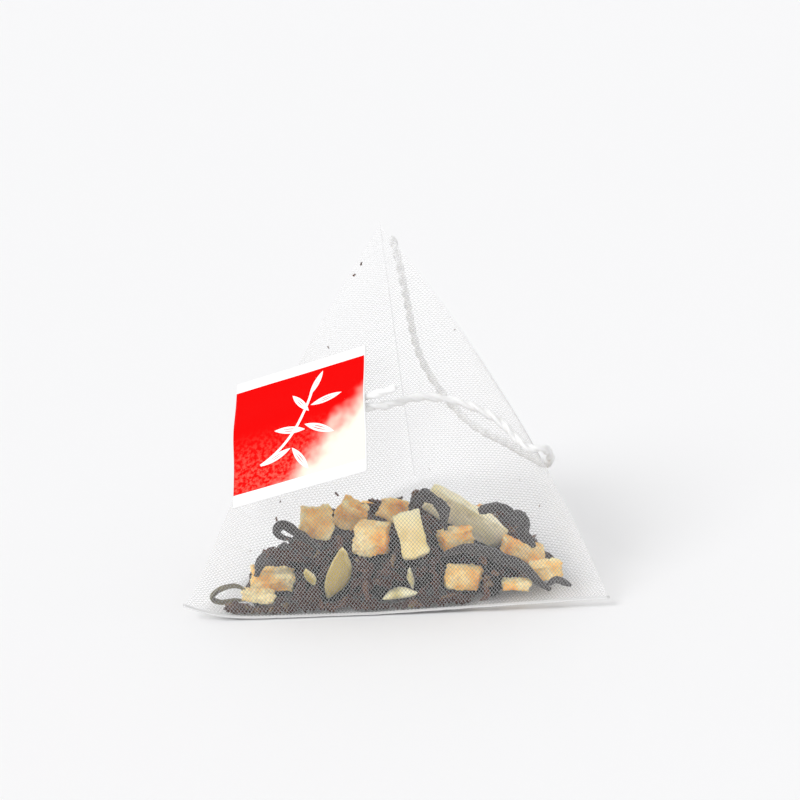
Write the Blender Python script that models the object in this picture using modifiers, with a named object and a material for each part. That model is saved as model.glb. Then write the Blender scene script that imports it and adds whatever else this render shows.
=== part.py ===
"""A pyramid tea bag: a heat sealed mesh pouch of dried fruit and leaf tea, with its string and paper tag.

The pouch is one flattened tube of woven mesh. Its first seal lies on the floor at the front, from the left
corner to the right one. Its second seal stands across the first one at the back, from the apex down to the
back corner. Four folds join the ends of the two seals. X runs along the front seal, Y goes back, Z goes up.
"""

import math
import random

import bmesh
import bpy
from mathutils import Euler, Matrix, Vector
from mathutils.bvhtree import BVHTree

# Driving dimensions of the pouch, in metres
SEAL_LENGTH = 0.0585
SEAL_SPACING = 0.0550
WALL = 0.0003
RIDGE = 0.0003
GAP = 0.0024
MESH_CELLS = 14
FLAT_REACH = 0.009
FLAT_SLOPE = 0.99
SEAL_WIDTH = 0.0012
SEAL_THICKNESS = 0.0004
SEAL_ROOT = 0.0004
SEAL_RISE = 0.0002

# How the filled pouch sits: its lean, its corners, which turn up from the flat base at these shares of the
# way to them, its bowed folds and its rounded faces
APEX_LEAN = -0.0005
BACK_SWING = 0.0042
LIFT_LEFT = 0.0022
LIFT_LEFT_FROM = 0.88
LIFT_RIGHT = 0.0012
LIFT_RIGHT_FROM = 0.45
LIFT_BACK = 0.0010
LIFT_BACK_FROM = 0.60
BOW_LEFT = 0.0020
BOW_RIGHT = 0.0030
BOW_BASE = 0.0015
BELLY_FRONT = 0.0040
BELLY_BACK = 0.0035

# Room between neighbours, and the coarse steps of the space inside the pouch
CLEARANCE = 0.0003
INSIDE_CELLS = 8

# The heap of fine leaf that carries the larger pieces, which fills the pouch by shares of the length and the
# spacing of the seals, and its bumps in radians along a seal
HEAP_HEIGHT = 0.1624 * SEAL_LENGTH
HEAP_CENTRE = (-0.0085 * SEAL_LENGTH, -0.127 * SEAL_SPACING)
HEAP_REACH = (0.444 * SEAL_LENGTH, 0.327 * SEAL_SPACING)
HEAP_ROUND = 0.7
HEAP_BUMP = 0.0006
HEAP_WAVES = (53, 47)
HEAP_GRID = 14
HEAP_SPREAD = 0.6

# The tag: where it rests along the left fold, how far its middle stands from there in its own directions, its
# turns in degrees, and the crease over the string that runs across it
TAG_SIZE = 0.0203
TAG_CARD = 0.00025
TAG_FOLD = 0.5
TAG_SHIFT = (0.0055, -0.0049, 0.0020)
TAG_TURN = (41.6, -19.5, -17.9)
TAG_CREASE = 0.0005
TAG_CREASE_AT = 0.0016
TAG_CREASE_REACH = 0.0040
TAG_STEPS = (4, 12)

# The string: its run down the right back face by the shares of the right and the back corner, the place where
# it crosses the right fold, and its run over the front by the shares of the left and the right corner, each
# with how far it is lifted off the wall; then its loop under the tag in the tag's plane, up to the cut end
STRING_DIAMETER = 0.0010
STRING_OFF = 0.00035
STRING_STEPS = 2
BACK_RUN = (
    (0.020, 0.030, 0.0),
    (0.030, 0.100, 0.0),
    (0.035, 0.190, 0.0),
    (0.038, 0.280, 0.0),
    (0.042, 0.370, 0.0),
    (0.060, 0.450, 0.0),
    (0.110, 0.505, 0.0),
    (0.190, 0.510, 0.0),
    (0.280, 0.455, 0.0),
    (0.370, 0.370, 0.0),
    (0.450, 0.293, 0.0),
    (0.522, 0.217, 0.0),
    (0.583, 0.146, 0.0),
    (0.621, 0.086, 0.0002),
    (0.638, 0.036, 0.0005),
)
FOLD_RUN = (0.637, 0.0003)
FRONT_RUN = (
    (0.014, 0.609, 0.0004),
    (0.028, 0.571, 0.0001),
    (0.035, 0.537, 0.0),
    (0.045, 0.500, 0.0),
    (0.067, 0.450, 0.0),
    (0.098, 0.398, 0.0),
    (0.124, 0.362, 0.0002),
    (0.152, 0.328, 0.0007),
    (0.182, 0.299, 0.0015),
    (0.214, 0.275, 0.0026),
    (0.244, 0.253, 0.0037),
)
TAG_RUN = (
    (0.0090, 0.0003),
    (0.0060, -0.0003),
    (0.0030, -0.0008),
    (0.0002, -0.0012),
    (-0.0022, -0.0009),
    (-0.0036, 0.0006),
    (-0.0034, 0.0025),
    (-0.0018, 0.0038),
    (0.0008, 0.0040),
    (0.0040, 0.0032),
    (0.0075, 0.0023),
    (0.0110, 0.0019),
    (0.0145, 0.0020),
)

# How the pieces are settled into the pouch, and how far the pockets in front are drawn out to its wall
FRONT_ZONE = -0.008
FRONT_ROOM = 0.0030
CORNER_REACH = 4.0
SETTLE_STEP = 0.00025
SETTLE_TRIES = 200
TOUCH = 1e-6
SILL = 0.0006
SLIVER = 1e-5
MERGE = 1e-7

# Shapes of the dried pieces: the side of the dice and the radius of a rolled leaf, by shares of a seal's length
DICE = 0.0855 * SEAL_LENGTH
LEAF_RADIUS = 0.0171 * SEAL_LENGTH
CUBE_CORNER = math.sqrt(0.75)
FRUIT_UNEVEN = 0.06
FRUIT_SHRINK = 0.12
PETAL_CURL = 0.5
PETAL_STEPS = (8, 6)
LEAF_STEPS = 3
LEAF_TIP = 0.3
LEAF_ROUND = 0.6

# Base colour and roughness of each kind of piece
TEA_FINISHES = {
    "leaf": ((0.03, 0.025, 0.02), 0.8),
    "petal": ((0.55, 0.50, 0.18), 0.6),
    "apple": ((0.80, 0.45, 0.18), 0.7),
    "melon": ((0.72, 0.68, 0.38), 0.5),
}

# The larger pieces in the order in which they are packed, from the front wall backwards. A leaf has points,
# each with its share across, its share up and its depth as a share of the seals' spacing, and how many leaf
# radii thick it is. A petal or a piece of fruit has one such point, its three sides in dice and its turns in
# degrees.
TEA = (
    ("petal", (-0.277, 0.108, 0), (0.68, 0.22, 1.6), (0, 15, 0)),
    ("petal", (0.016, 0.018, 0), (1.04, 0.18, 0.36), (0, -10, 0)),
    ("petal", (-0.404, 0.104, 0), (0.28, 0.16, 0.56), (0, -20, 0)),
    ("petal", (0.071, 0.088, 0), (0.2, 0.14, 0.66), (0, -5, 0)),
    ("apple", (-0.651, 0.026, 0), (1, 0.5, 0.3), (0, 8, 0)),
    ("apple", (0.567, 0.026, 0), (0.84, 0.5, 0.3), (0, 3, 0)),
    ("leaf", ((-0.535, 0.039, 0), (-0.442, 0.031, 0), (-0.361, 0.033, 0)), 0.7),
    ("leaf", ((-0.21, 0.027, 0), (-0.144, 0.038, 0), (-0.093, 0.025, 0)), 0.7),
    ("leaf", ((0.144, 0.026, 0), (0.192, 0.043, 0), (0.238, 0.021, 0)), 0.6),
    ("leaf", ((0.713, 0.033, 0), (0.765, 0.047, 0), (0.827, 0.028, 0)), 0.55),
    ("leaf", ((-0.878, 0.007, 0), (-0.838, 0.027, 0), (-0.781, 0.032, 0), (-0.715, 0.021, 0)), 0.45),
    (
        "leaf",
        (
            (0.226, 0.145, 0), (0.335, 0.164, 0), (0.495, 0.137, 0), (0.599, 0.101, 0),
            (0.674, 0.058, 0), (0.731, 0.029, 0),
        ),
        0.75,
    ),
    ("leaf", ((-0.55, 0.253, 0), (-0.49, 0.24, 0), (-0.421, 0.215, 0), (-0.343, 0.177, 0)), 0.65),
    ("apple", (-0.585, 0.07, 0), (1.36, 0.6, 0.66), (0, 8, 0)),
    ("apple", (0.715, 0.052, 0), (1, 0.6, 0.5), (0, -4, 0)),
    ("apple", (0.318, 0.055, 0), (1.1, 0.6, 0.68), (0, 10, 0)),
    ("apple", (0.297, 0.172, 0), (0.96, 0.6, 0.7), (5, -10, 10)),
    ("melon", (0.077, 0.209, 0), (0.86, 0.5, 1.36), (-20, -10, 4)),
    ("apple", (-0.102, 0.192, 0), (1, 0.72, 0.94), (0, 5, -15)),
    ("apple", (-0.37, 0.227, 0), (0.92, 0.72, 0.9), (5, 10, 15)),
    ("apple", (0.615, 0.101, 0), (1.2, 0.64, 0.7), (0, 12, 0)),
    ("leaf", ((-0.659, 0.116, 0), (-0.608, 0.163, 0), (-0.517, 0.184, 0), (-0.42, 0.162, 0)), 1.1),
    ("leaf", ((-0.114, 0.064, 0), (-0.056, 0.099, 0), (0.009, 0.073, 0)), 0.8),
    ("leaf", ((0.1, 0.072, 0), (0.158, 0.118, 0), (0.214, 0.099, 0)), 0.7),
    (
        "leaf",
        (
            (-0.427, 0.119, 0.02), (-0.365, 0.172, 0.02), (-0.298, 0.165, 0.02), (-0.243, 0.121, 0.02),
        ),
        0.9,
    ),
    (
        "leaf",
        (
            (0.072, 0.286, 0.05), (0.116, 0.318, 0.05), (0.182, 0.313, 0.05), (0.227, 0.271, 0.05),
            (0.244, 0.217, 0.05),
        ),
        1.1,
    ),
    ("apple", (-0.203, 0.23, 0.06), (0.86, 0.68, 0.74), (20, 30, 10)),
    ("apple", (-0.002, 0.245, 0.07), (0.76, 0.6, 0.6), (0, 20, 30)),
    ("melon", (0.349, 0.187, 0.08), (2.5, 0.6, 0.8), (0, 32, -6)),
    ("leaf", ((0.409, 0.271, 0.1), (0.494, 0.284, 0.1), (0.588, 0.243, 0.1), (0.668, 0.164, 0.1)), 1.3),
    ("leaf", ((-0.5, 0.1, 0.25), (-0.35, 0.15, 0.29), (-0.18, 0.13, 0.33)), 1.4),
    ("leaf", ((0.1, 0.17, 0.4), (0.24, 0.18, 0.36), (0.38, 0.13, 0.36)), 1.4),
    ("leaf", ((-0.1, 0.04, 0.43), (0.02, 0.06, 0.46), (0.12, 0.04, 0.48)), 1.2),
    ("apple", (-0.3, 0.1, 0.3), (1, 0.9, 0.84), (20, 10, 40)),
    ("melon", (0.12, 0.12, 0.3), (1.2, 0.96, 0.8), (0, 15, -35)),
    ("apple", (0.42, 0.08, 0.33), (1.04, 0.92, 0.84), (30, 0, 20)),
    ("apple", (-0.08, 0.07, 0.45), (0.96, 0.88, 0.88), (0, 25, 50)),
    ("apple", (0.2, 0.06, 0.5), (0.9, 0.8, 0.7), (15, 0, 70)),
)

CORNER_NAMES = ("left", "right", "apex", "back")
RING = (("left", "apex"), ("right", "apex"), ("right", "back"), ("left", "back"))


def clear_scene():
    for item in list(bpy.data.objects):
        bpy.data.objects.remove(item)


def new_collection(name, helper=False):
    collection = bpy.data.collections.new(name)
    bpy.context.scene.collection.children.link(collection)
    collection.hide_render = helper
    return collection


def material(name, colour, roughness, metallic=0.0):
    made = bpy.data.materials.new(name)
    made.use_nodes = True
    shader = made.node_tree.nodes["Principled BSDF"]
    shader.inputs["Base Color"].default_value = (*colour, 1)
    shader.inputs["Roughness"].default_value = roughness
    shader.inputs["Metallic"].default_value = metallic
    return made


def add_object(name, data, collection, finish=None):
    item = bpy.data.objects.new(name, data)
    collection.objects.link(item)
    if finish:
        data.materials.append(finish)
    return item


def mesh_from(bm, name):
    """Closes off a bmesh as a mesh whose faces point outwards."""
    bmesh.ops.recalc_face_normals(bm, faces=bm.faces)
    mesh = bpy.data.meshes.new(name)
    bm.to_mesh(mesh)
    bm.free()
    return mesh


def as_helper(item):
    item.hide_render = True
    item.display_type = "WIRE"
    return item


def pouch_corners():
    """The corners of the pouch with flat faces, on its base, with the middle of the base at the origin."""
    half = SEAL_LENGTH / 2
    apart = math.sqrt(SEAL_SPACING**2 - half**2)
    slope = math.atan2(half, apart)
    front = -SEAL_SPACING / 3
    middle_y = front + apart * math.cos(slope)
    middle_z = apart * math.sin(slope)
    return {
        "left": Vector((-half, front, 0)),
        "right": Vector((half, front, 0)),
        "apex": Vector((APEX_LEAN, middle_y - half * math.sin(slope), middle_z + half * math.cos(slope))),
        "back": Vector((BACK_SWING, middle_y + half * math.sin(slope), 0)),
    }


CORNER = pouch_corners()
MIDDLE = sum(CORNER.values(), Vector()) / len(CORNER)


def outward(*names):
    """The direction from the middle of the pouch to the middle of these corners."""
    return (sum((CORNER[name] for name in names), Vector()) / len(names) - MIDDLE).normalized()


def level(direction):
    return Vector((direction.x, direction.y, 0)).normalized()


BOWS = (
    ("left", "apex", BOW_LEFT, outward("left", "apex")),
    ("right", "apex", BOW_RIGHT, outward("right", "apex")),
    ("left", "back", BOW_BASE, level(outward("left", "back"))),
    ("right", "back", BOW_BASE, level(outward("right", "back"))),
)
BELLIES = (
    ("left", "right", "apex", BELLY_FRONT, outward("left", "right", "apex")),
    ("right", "back", "apex", BELLY_BACK, outward("right", "back", "apex")),
    ("left", "back", "apex", BELLY_BACK, outward("left", "back", "apex")),
)
LIFTS = (
    ("left", LIFT_LEFT, LIFT_LEFT_FROM),
    ("right", LIFT_RIGHT, LIFT_RIGHT_FROM),
    ("back", LIFT_BACK, LIFT_BACK_FROM),
)


def filled(share):
    """The place on the filled pouch of a mix of its corners: the flat place, bowed, rounded and lifted."""
    place = sum((CORNER[name] * share[name] for name in CORNER_NAMES), Vector())
    for first, second, bow, direction in BOWS:
        place += direction * bow * 4 * share[first] * share[second]
    for first, second, third, belly, direction in BELLIES:
        place += direction * belly * 27 * share[first] * share[second] * share[third]
    for name, lift, start in LIFTS:
        place.z += lift * max(0.0, (share[name] - start) / (1 - start))
    return place


def film_point(row, column, rows):
    """A point of the cloth tube, whose row 0 is the front seal and whose last row is the back seal.

    A row is a ring of four sides: the front, the right back face, the base and the left back face. The front
    and the base lose one step in each row, the two back faces gain one, and column counts the steps from the
    left fold of the front.
    """
    up = row / rows
    steps = (rows - row, row, rows - row, row)
    column %= 2 * rows
    side = 0
    while side < 3 and column > steps[side]:
        column -= steps[side]
        side += 1
    along = column / steps[side] if steps[side] else 0.0
    share = dict.fromkeys(CORNER_NAMES, 0.0)
    for (low, high), part in ((RING[side], 1 - along), (RING[(side + 1) % 4], along)):
        share[low] += part * (1 - up)
        share[high] += part * up
    return filled(share)


def weld_seals(bm):
    bmesh.ops.remove_doubles(bm, verts=bm.verts, dist=MERGE)


def cell(bm, corners, centre, gap):
    """One diamond of the mesh: four slopes down to its middle, or to the rim of its gap."""
    if not gap:
        low = bm.verts.new(centre)
        for first, second in zip(corners, corners[1:] + corners[:1]):
            bm.faces.new((first, second, low))
        return
    share = GAP / (corners[2].co - corners[0].co).length
    rim = [bm.verts.new(centre.lerp(corner.co, share)) for corner in corners]
    for i in range(4):
        j = (i + 1) % 4
        bm.faces.new((corners[i], corners[j], rim[j], rim[i]))


def cloth_mesh(rows):
    """The outer skin of the mesh: ridges cross along the diamonds, and every fourth diamond has a gap."""
    bm = bmesh.new()
    crossing = [[bm.verts.new(film_point(r, c, rows)) for c in range(2 * rows)] for r in range(rows + 1)]
    for row in range(1, rows):
        for column in range(2 * rows):
            beside = (column + 1) % (2 * rows)
            corners = [
                crossing[row][column],
                crossing[row - 1][beside],
                crossing[row][beside],
                crossing[row + 1][column],
            ]
            centre = film_point(row, column + 0.5, rows)
            across = corners[2].co - corners[0].co
            out = across.cross(corners[3].co - corners[1].co).normalized()
            on_flat = out.z < -FLAT_SLOPE and centre.length < FLAT_REACH
            gap = row % 2 == 0 and column % 2 == 0 and not on_flat
            cell(bm, corners, centre if on_flat else centre - out * RIDGE, gap)
    for column in range(2 * rows):
        beside = (column + 1) % (2 * rows)
        bm.faces.new((crossing[0][column], crossing[0][beside], crossing[1][column]))
        bm.faces.new((crossing[rows][column], crossing[rows - 1][beside], crossing[rows][beside]))
    weld_seals(bm)
    return mesh_from(bm, "mesh_bag")


def seal_mesh(name, line, out, thick, low):
    """A pressed seal: a flat bar that follows the line and stands out of the fold."""
    bm = bmesh.new()
    section = (
        out * -SEAL_ROOT + thick * low,
        out * SEAL_WIDTH + thick * low,
        out * SEAL_WIDTH + thick * (low + SEAL_THICKNESS),
        out * -SEAL_ROOT + thick * (low + SEAL_THICKNESS),
    )
    rings = [[bm.verts.new(point + offset) for offset in section] for point in line]
    for near, far in zip(rings, rings[1:]):
        for i in range(4):
            bm.faces.new((near[i], near[(i + 1) % 4], far[(i + 1) % 4], far[i]))
    bm.faces.new(rings[0])
    bm.faces.new(reversed(rings[-1]))
    return mesh_from(bm, name)


def seal_lines(rows):
    front = [film_point(0, column, rows) for column in range(rows + 1)]
    back = [film_point(rows, column, rows) for column in range(rows + 1)]
    return front, back


def build_bag(parts, helpers):
    bag = add_object("mesh_bag", cloth_mesh(MESH_CELLS), parts, material("mesh_cloth", (0.9, 0.9, 0.9), 0.5))
    wall = bag.modifiers.new("wall", "SOLIDIFY")
    wall.thickness = WALL
    wall.offset = -1
    wall.use_even_offset = True
    front, back = seal_lines(MESH_CELLS)
    behind = outward("apex", "back")
    back_out = Vector((0, behind.y, behind.z)).normalized()
    bars = (
        ("front_seal", front, Vector((0, -1, 0)), Vector((0, 0, 1)), SEAL_RISE),
        ("back_seal", back, back_out, Vector((1, 0, 0)), -SEAL_THICKNESS / 2),
    )
    for name, line, out, thick, low in bars:
        bar = as_helper(add_object(name, seal_mesh(name, line, out, thick, low), helpers))
        joined = bag.modifiers.new(name, "BOOLEAN")
        joined.operation = "UNION"
        joined.object = bar
    return bag


def inside_mesh():
    """The space inside the pouch: its outer skin, in coarse steps, moved in past the wall and its ridges."""
    rows = INSIDE_CELLS
    bm = bmesh.new()
    crossing = [[bm.verts.new(film_point(r, c, rows)) for c in range(2 * rows)] for r in range(rows + 1)]
    for row in range(rows):
        for column in range(2 * rows):
            low, near = crossing[row][column], crossing[row][(column + 1) % (2 * rows)]
            high, before = crossing[row + 1][column], crossing[row + 1][column - 1]
            bm.faces.new((low, near, high))
            bm.faces.new((low, high, before))
    weld_seals(bm)
    bmesh.ops.recalc_face_normals(bm, faces=bm.faces)
    return mesh_from(moved_out(bm, -(WALL + RIDGE + CLEARANCE), CORNER_REACH), "inside")


def moved_out(bm, by, most=2.0):
    """Moves every face of a closed bmesh out by a distance, or in if it is negative."""
    bm.normal_update()
    moves = [(vert, vert.normal * by * min(vert.calc_shell_factor(), most)) for vert in bm.verts]
    for vert, move in moves:
        vert.co += move
    return bm


def swollen(mesh, by):
    """A copy of a closed mesh with all its faces moved out."""
    bm = bmesh.new()
    bm.from_mesh(mesh)
    return mesh_from(moved_out(bm, by), mesh.name + "_room")


def pocket_mesh(piece):
    """The room round a piece, for fruit and petals in front drawn out to the wall, so that they show."""
    bm = bmesh.new()
    bm.from_mesh(swollen(piece.data, CLEARANCE))
    bm.transform(piece.matrix_basis)
    if piece.location.y < FRONT_ZONE and not piece.name.startswith("leaf"):
        places = [vert.co - Vector((0, out, 0)) for vert in bm.verts for out in (0, FRONT_ROOM)]
        bm.clear()
        for place in places:
            bm.verts.new(place)
        hull = bmesh.ops.convex_hull(bm, input=bm.verts)
        bmesh.ops.delete(bm, geom=hull["geom_interior"], context="VERTS")
    return mesh_from(bm, piece.name + "_pocket")


def surface_of(mesh, place):
    points = [place @ vert.co for vert in mesh.vertices]
    return BVHTree.FromPolygons(points, [tuple(face.vertices) for face in mesh.polygons])


class Packing:
    """The room inside the pouch, filled from its front wall backwards."""

    def __init__(self, inside):
        self.walls = surface_of(inside, Matrix())
        self.sill = min(vert.co.y for vert in inside.vertices) + SILL
        self.packed = []

    def hit(self, start, direction):
        return self.walls.ray_cast(start, direction)[0]

    def push(self, item):
        """How far a piece still has to move to lie clear of the side folds, the front wall and the base."""
        places = [item.matrix_basis @ vert.co for vert in item.data.vertices]
        sills = [self.hit(Vector((place.x, self.sill, -1)), Vector((0, 0, 1))) for place in places]
        sunk = max((sill.z + SILL / 2 - place.z for sill, place in zip(sills, places) if sill), default=0.0)
        if sunk > TOUCH:
            return Vector((0, 0, sunk))
        fronts = [self.hit(Vector((place.x, -1, place.z)), Vector((0, 1, 0))) for place in places]
        if any(front is None for front in fronts):
            return Vector((math.copysign(SETTLE_STEP, -item.location.x), 0, SETTLE_STEP / 2))
        back = max(front.y - place.y for front, place in zip(fronts, places))
        if back > TOUCH:
            return Vector((0, back, 0))
        backs = [self.hit(Vector((place.x, 1, place.z)), Vector((0, -1, 0))) for place in places]
        if any(rear.y < place.y for rear, place in zip(backs, places)):
            return Vector((math.copysign(SETTLE_STEP, -item.location.x), -SETTLE_STEP, SETTLE_STEP))
        floors = [self.hit(Vector((place.x, place.y, -1)), Vector((0, 0, 1))) for place in places]
        up = max((floor.z - place.z for floor, place in zip(floors, places) if floor), default=0.0)
        if up > TOUCH:
            return Vector((0, 0, up))
        room = surface_of(swollen(item.data, CLEARANCE), item.matrix_basis)
        if any(room.overlap(other) for other in self.packed):
            return Vector((0, SETTLE_STEP, 0))
        return None

    def settle(self, item):
        """Pushes a piece in from the front wall until it lies clear of the walls and of what is packed."""
        for _ in range(SETTLE_TRIES):
            move = self.push(item)
            if move is None:
                break
            item.matrix_basis = Matrix.Translation(move) @ item.matrix_basis
        self.packed.append(surface_of(item.data, item.matrix_basis))


def spot(across, height, depth=0.0):
    """A place in the heap: shares of the half seal and of the apex height, and a depth behind the seal."""
    behind = CORNER["left"].y + depth * SEAL_SPACING
    return Vector((across * SEAL_LENGTH / 2, behind, height * CORNER["apex"].z))


def smooth_line(points, steps):
    """A Catmull-Rom curve through the points, with a number of steps between each two."""
    ends = [2 * points[0] - points[1], *points, 2 * points[-1] - points[-2]]
    line = []
    for before, start, end, after in zip(ends, ends[1:], ends[2:], ends[3:]):
        for i in range(steps):
            t = i / steps
            line.append(
                start
                + (end - before) * (t / 2)
                + (2 * before - 5 * start + 4 * end - after) * (t * t / 2)
                + (3 * start - before - 3 * end + after) * (t**3 / 2)
            )
    return [*line, points[-1]]


def tube_curve(name, line, radius, shares=None):
    """A round rod along a line of points, as thick at each as its share says."""
    curve = bpy.data.curves.new(name, "CURVE")
    curve.dimensions = "3D"
    curve.bevel_depth = radius
    curve.bevel_resolution = 2 if shares is None else 1
    curve.use_fill_caps = True
    spline = curve.splines.new("POLY")
    spline.points.add(len(line) - 1)
    for i, place in enumerate(line):
        spline.points[i].co = (*place, 1)
        spline.points[i].radius = 1.0 if shares is None else shares[i]
    return curve


def build_rod(name, line, radius, collection, shares=None):
    """A rod as a mesh of its own, made from its curve."""
    rod = add_object(name + "_rod", tube_curve(name, line, radius, shares), collection)
    bpy.context.view_layer.update()
    bm = bmesh.new()
    bm.from_mesh(bpy.data.meshes.new_from_object(rod.evaluated_get(bpy.context.evaluated_depsgraph_get())))
    bmesh.ops.remove_doubles(bm, verts=bm.verts, dist=MERGE)
    bpy.data.objects.remove(rod)
    return add_object(name, mesh_from(bm, name), collection)


def fruit_mesh(name, size, seed):
    """A diced piece of dried fruit: a cube in two steps a side, its corners shrunk and its sides uneven."""
    rng = random.Random(seed)
    bm = bmesh.new()
    bmesh.ops.create_cube(bm, size=1)
    bmesh.ops.subdivide_edges(bm, edges=bm.edges, cuts=1, use_grid_fill=True)
    for vert in bm.verts:
        corner = vert.co.length / CUBE_CORNER
        uneven = [rng.uniform(-FRUIT_UNEVEN, FRUIT_UNEVEN) for _ in range(3)]
        vert.co = vert.co * (1 - FRUIT_SHRINK * corner**2) + Vector(uneven)
        vert.co = Vector(co * side for co, side in zip(vert.co, size))
    return mesh_from(bm, name)


def petal_mesh(name, size):
    """A dried petal: a flattened ball that curls back towards its two ends."""
    bm = bmesh.new()
    bmesh.ops.create_uvsphere(bm, u_segments=PETAL_STEPS[0], v_segments=PETAL_STEPS[1], radius=0.5)
    for vert in bm.verts:
        curl = PETAL_CURL * vert.co.z**2
        vert.co = Vector((vert.co.x * size[0], vert.co.y * size[1] + curl * size[2], vert.co.z * size[2]))
    return mesh_from(bm, name)


def build_leaf(name, points, radius, collection):
    """A rolled leaf: a rod along a curve through its points, thick in the middle and thin at its ends."""
    line = smooth_line([spot(*point) for point in points], LEAF_STEPS)
    middle = sum(line, Vector()) / len(line)
    last = len(line) - 1
    shares = [LEAF_TIP + (1 - LEAF_TIP) * math.sin(math.pi * i / last) ** LEAF_ROUND for i in range(last + 1)]
    leaf = build_rod(name, [place - middle for place in line], radius, collection, shares)
    leaf.matrix_basis = Matrix.Translation(middle)
    return leaf


def turned(degrees):
    return Euler([math.radians(angle) for angle in degrees])


def build_piece(name, mesh, place, turn, collection):
    piece = add_object(name, mesh, collection)
    piece.matrix_basis = Matrix.LocRotScale(spot(*place), turned(turn), None)
    return piece


def heap_top(x, y):
    """The height of the fine leaf: a flattened dome with low bumps, which falls off at its rim."""
    u = (x - HEAP_CENTRE[0]) / HEAP_REACH[0]
    v = (y - HEAP_CENTRE[1]) / HEAP_REACH[1]
    dome = max(0.0, 1 - u * u - v * v)
    bumps = math.sin(HEAP_WAVES[0] * x / SEAL_LENGTH + 1) * math.cos(HEAP_WAVES[1] * y / SEAL_LENGTH)
    return HEAP_HEIGHT * dome**HEAP_ROUND + HEAP_BUMP * bumps


def heap_mesh():
    """A block with the dome as its top and a flat bottom under the pouch."""
    bm = bmesh.new()
    bmesh.ops.create_grid(bm, x_segments=HEAP_GRID, y_segments=HEAP_GRID, size=SEAL_LENGTH * HEAP_SPREAD)
    under = bmesh.ops.extrude_face_region(bm, geom=list(bm.faces))["geom"]
    for vert in (item for item in under if isinstance(item, bmesh.types.BMVert)):
        vert.co.z = heap_top(vert.co.x, vert.co.y)
        vert.select = True
    for vert in bm.verts:
        if not vert.select:
            vert.co.z = -HEAP_HEIGHT / 2
    return mesh_from(bm, "heap")


def largest_body(mesh, name):
    """Keeps the largest connected body of a mesh and drops the crumbs that the cuts left beside it."""
    bm = bmesh.new()
    bm.from_mesh(mesh)
    bmesh.ops.remove_doubles(bm, verts=bm.verts, dist=SLIVER)
    bmesh.ops.dissolve_degenerate(bm, edges=bm.edges, dist=SLIVER)
    left, bodies = set(bm.faces), []
    while left:
        body, edge = [], [left.pop()]
        while edge:
            face = edge.pop()
            body.append(face)
            plain = [side.link_faces for side in face.edges if len(side.link_faces) == 2]
            beside = {other for pair in plain for other in pair} & left
            left -= beside
            edge.extend(beside)
        bodies.append(body)
    bodies.sort(key=len)
    crumbs = [face for body in bodies[:-1] for face in body]
    bmesh.ops.delete(bm, geom=crumbs, context="FACES")
    return mesh_from(bm, name)


def build_leaf_bed(parts, helpers, inside, pieces):
    """The fine leaf under and between the larger pieces, with a pocket around each of them."""
    bed = as_helper(add_object("heap", heap_mesh(), helpers))
    room = as_helper(add_object("inside", inside, helpers))
    cut = bed.modifiers.new("inside", "BOOLEAN")
    cut.operation = "INTERSECT"
    cut.object = room
    for piece in pieces:
        pocket = as_helper(add_object(piece.name + "_pocket", pocket_mesh(piece), helpers))
        cut = bed.modifiers.new(pocket.name, "BOOLEAN")
        cut.operation = "DIFFERENCE"
        cut.solver = "MANIFOLD"
        cut.object = pocket
    bpy.context.view_layer.update()
    graph = bpy.context.evaluated_depsgraph_get()
    mesh = bpy.data.meshes.new_from_object(bed.evaluated_get(graph))
    bpy.data.objects.remove(bed)
    fine_leaf = material("fine_leaf", *TEA_FINISHES["leaf"])
    return add_object("leaf_bed", largest_body(mesh, "leaf_bed"), parts, fine_leaf)


def build_tea(parts, helpers):
    """Packs the larger pieces in order, each with its own name, and beds them in the fine leaf."""
    inside = inside_mesh()
    packing = Packing(inside)
    finishes = {kind: material(kind, colour, roughness) for kind, (colour, roughness) in TEA_FINISHES.items()}
    pieces = []
    for kind, place, *shape in TEA:
        name = f"{kind}_{sum(piece.name.startswith(kind) for piece in pieces) + 1:02d}"
        if kind == "leaf":
            piece = build_leaf(name, place, shape[0] * LEAF_RADIUS, parts)
        else:
            size, turn = [side * DICE for side in shape[0]], shape[1]
            mesh = petal_mesh(name, size) if kind == "petal" else fruit_mesh(name, size, len(pieces))
            piece = build_piece(name, mesh, place, turn, parts)
        piece.data.materials.append(finishes[kind])
        packing.settle(piece)
        pieces.append(piece)
    return build_leaf_bed(parts, helpers, inside, pieces)


def mixed(left=0.0, right=0.0, back=0.0):
    """The place on the filled pouch for these shares of three corners, with the rest at the apex."""
    return filled({"left": left, "right": right, "back": back, "apex": 1 - left - right - back})


def tag_frame():
    """Where the tag lies: its middle stands off the left fold, and its z axis points out from the pouch."""
    turn = turned(TAG_TURN)
    middle = mixed(left=1 - TAG_FOLD) + turn.to_matrix() @ Vector(TAG_SHIFT)
    return Matrix.LocRotScale(middle, turn, None)


def tag_rise(y):
    """The low ridge that the string under it presses into the card."""
    return TAG_CREASE * math.exp(-(((y - TAG_CREASE_AT) / TAG_CREASE_REACH) ** 2))


def build_tag(parts):
    """A square card, bent in a low ridge over the string."""
    bm = bmesh.new()
    bmesh.ops.create_grid(bm, x_segments=TAG_STEPS[0], y_segments=TAG_STEPS[1], size=TAG_SIZE / 2)
    for vert in bm.verts:
        vert.co.z = tag_rise(vert.co.y)
    tag = add_object("tag", mesh_from(bm, "tag"), parts, material("tag_paper", (0.75, 0.05, 0.04), 0.6))
    card = tag.modifiers.new("card", "SOLIDIFY")
    card.thickness = TAG_CARD
    card.offset = 0
    tag.matrix_basis = tag_frame()
    return tag


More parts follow.
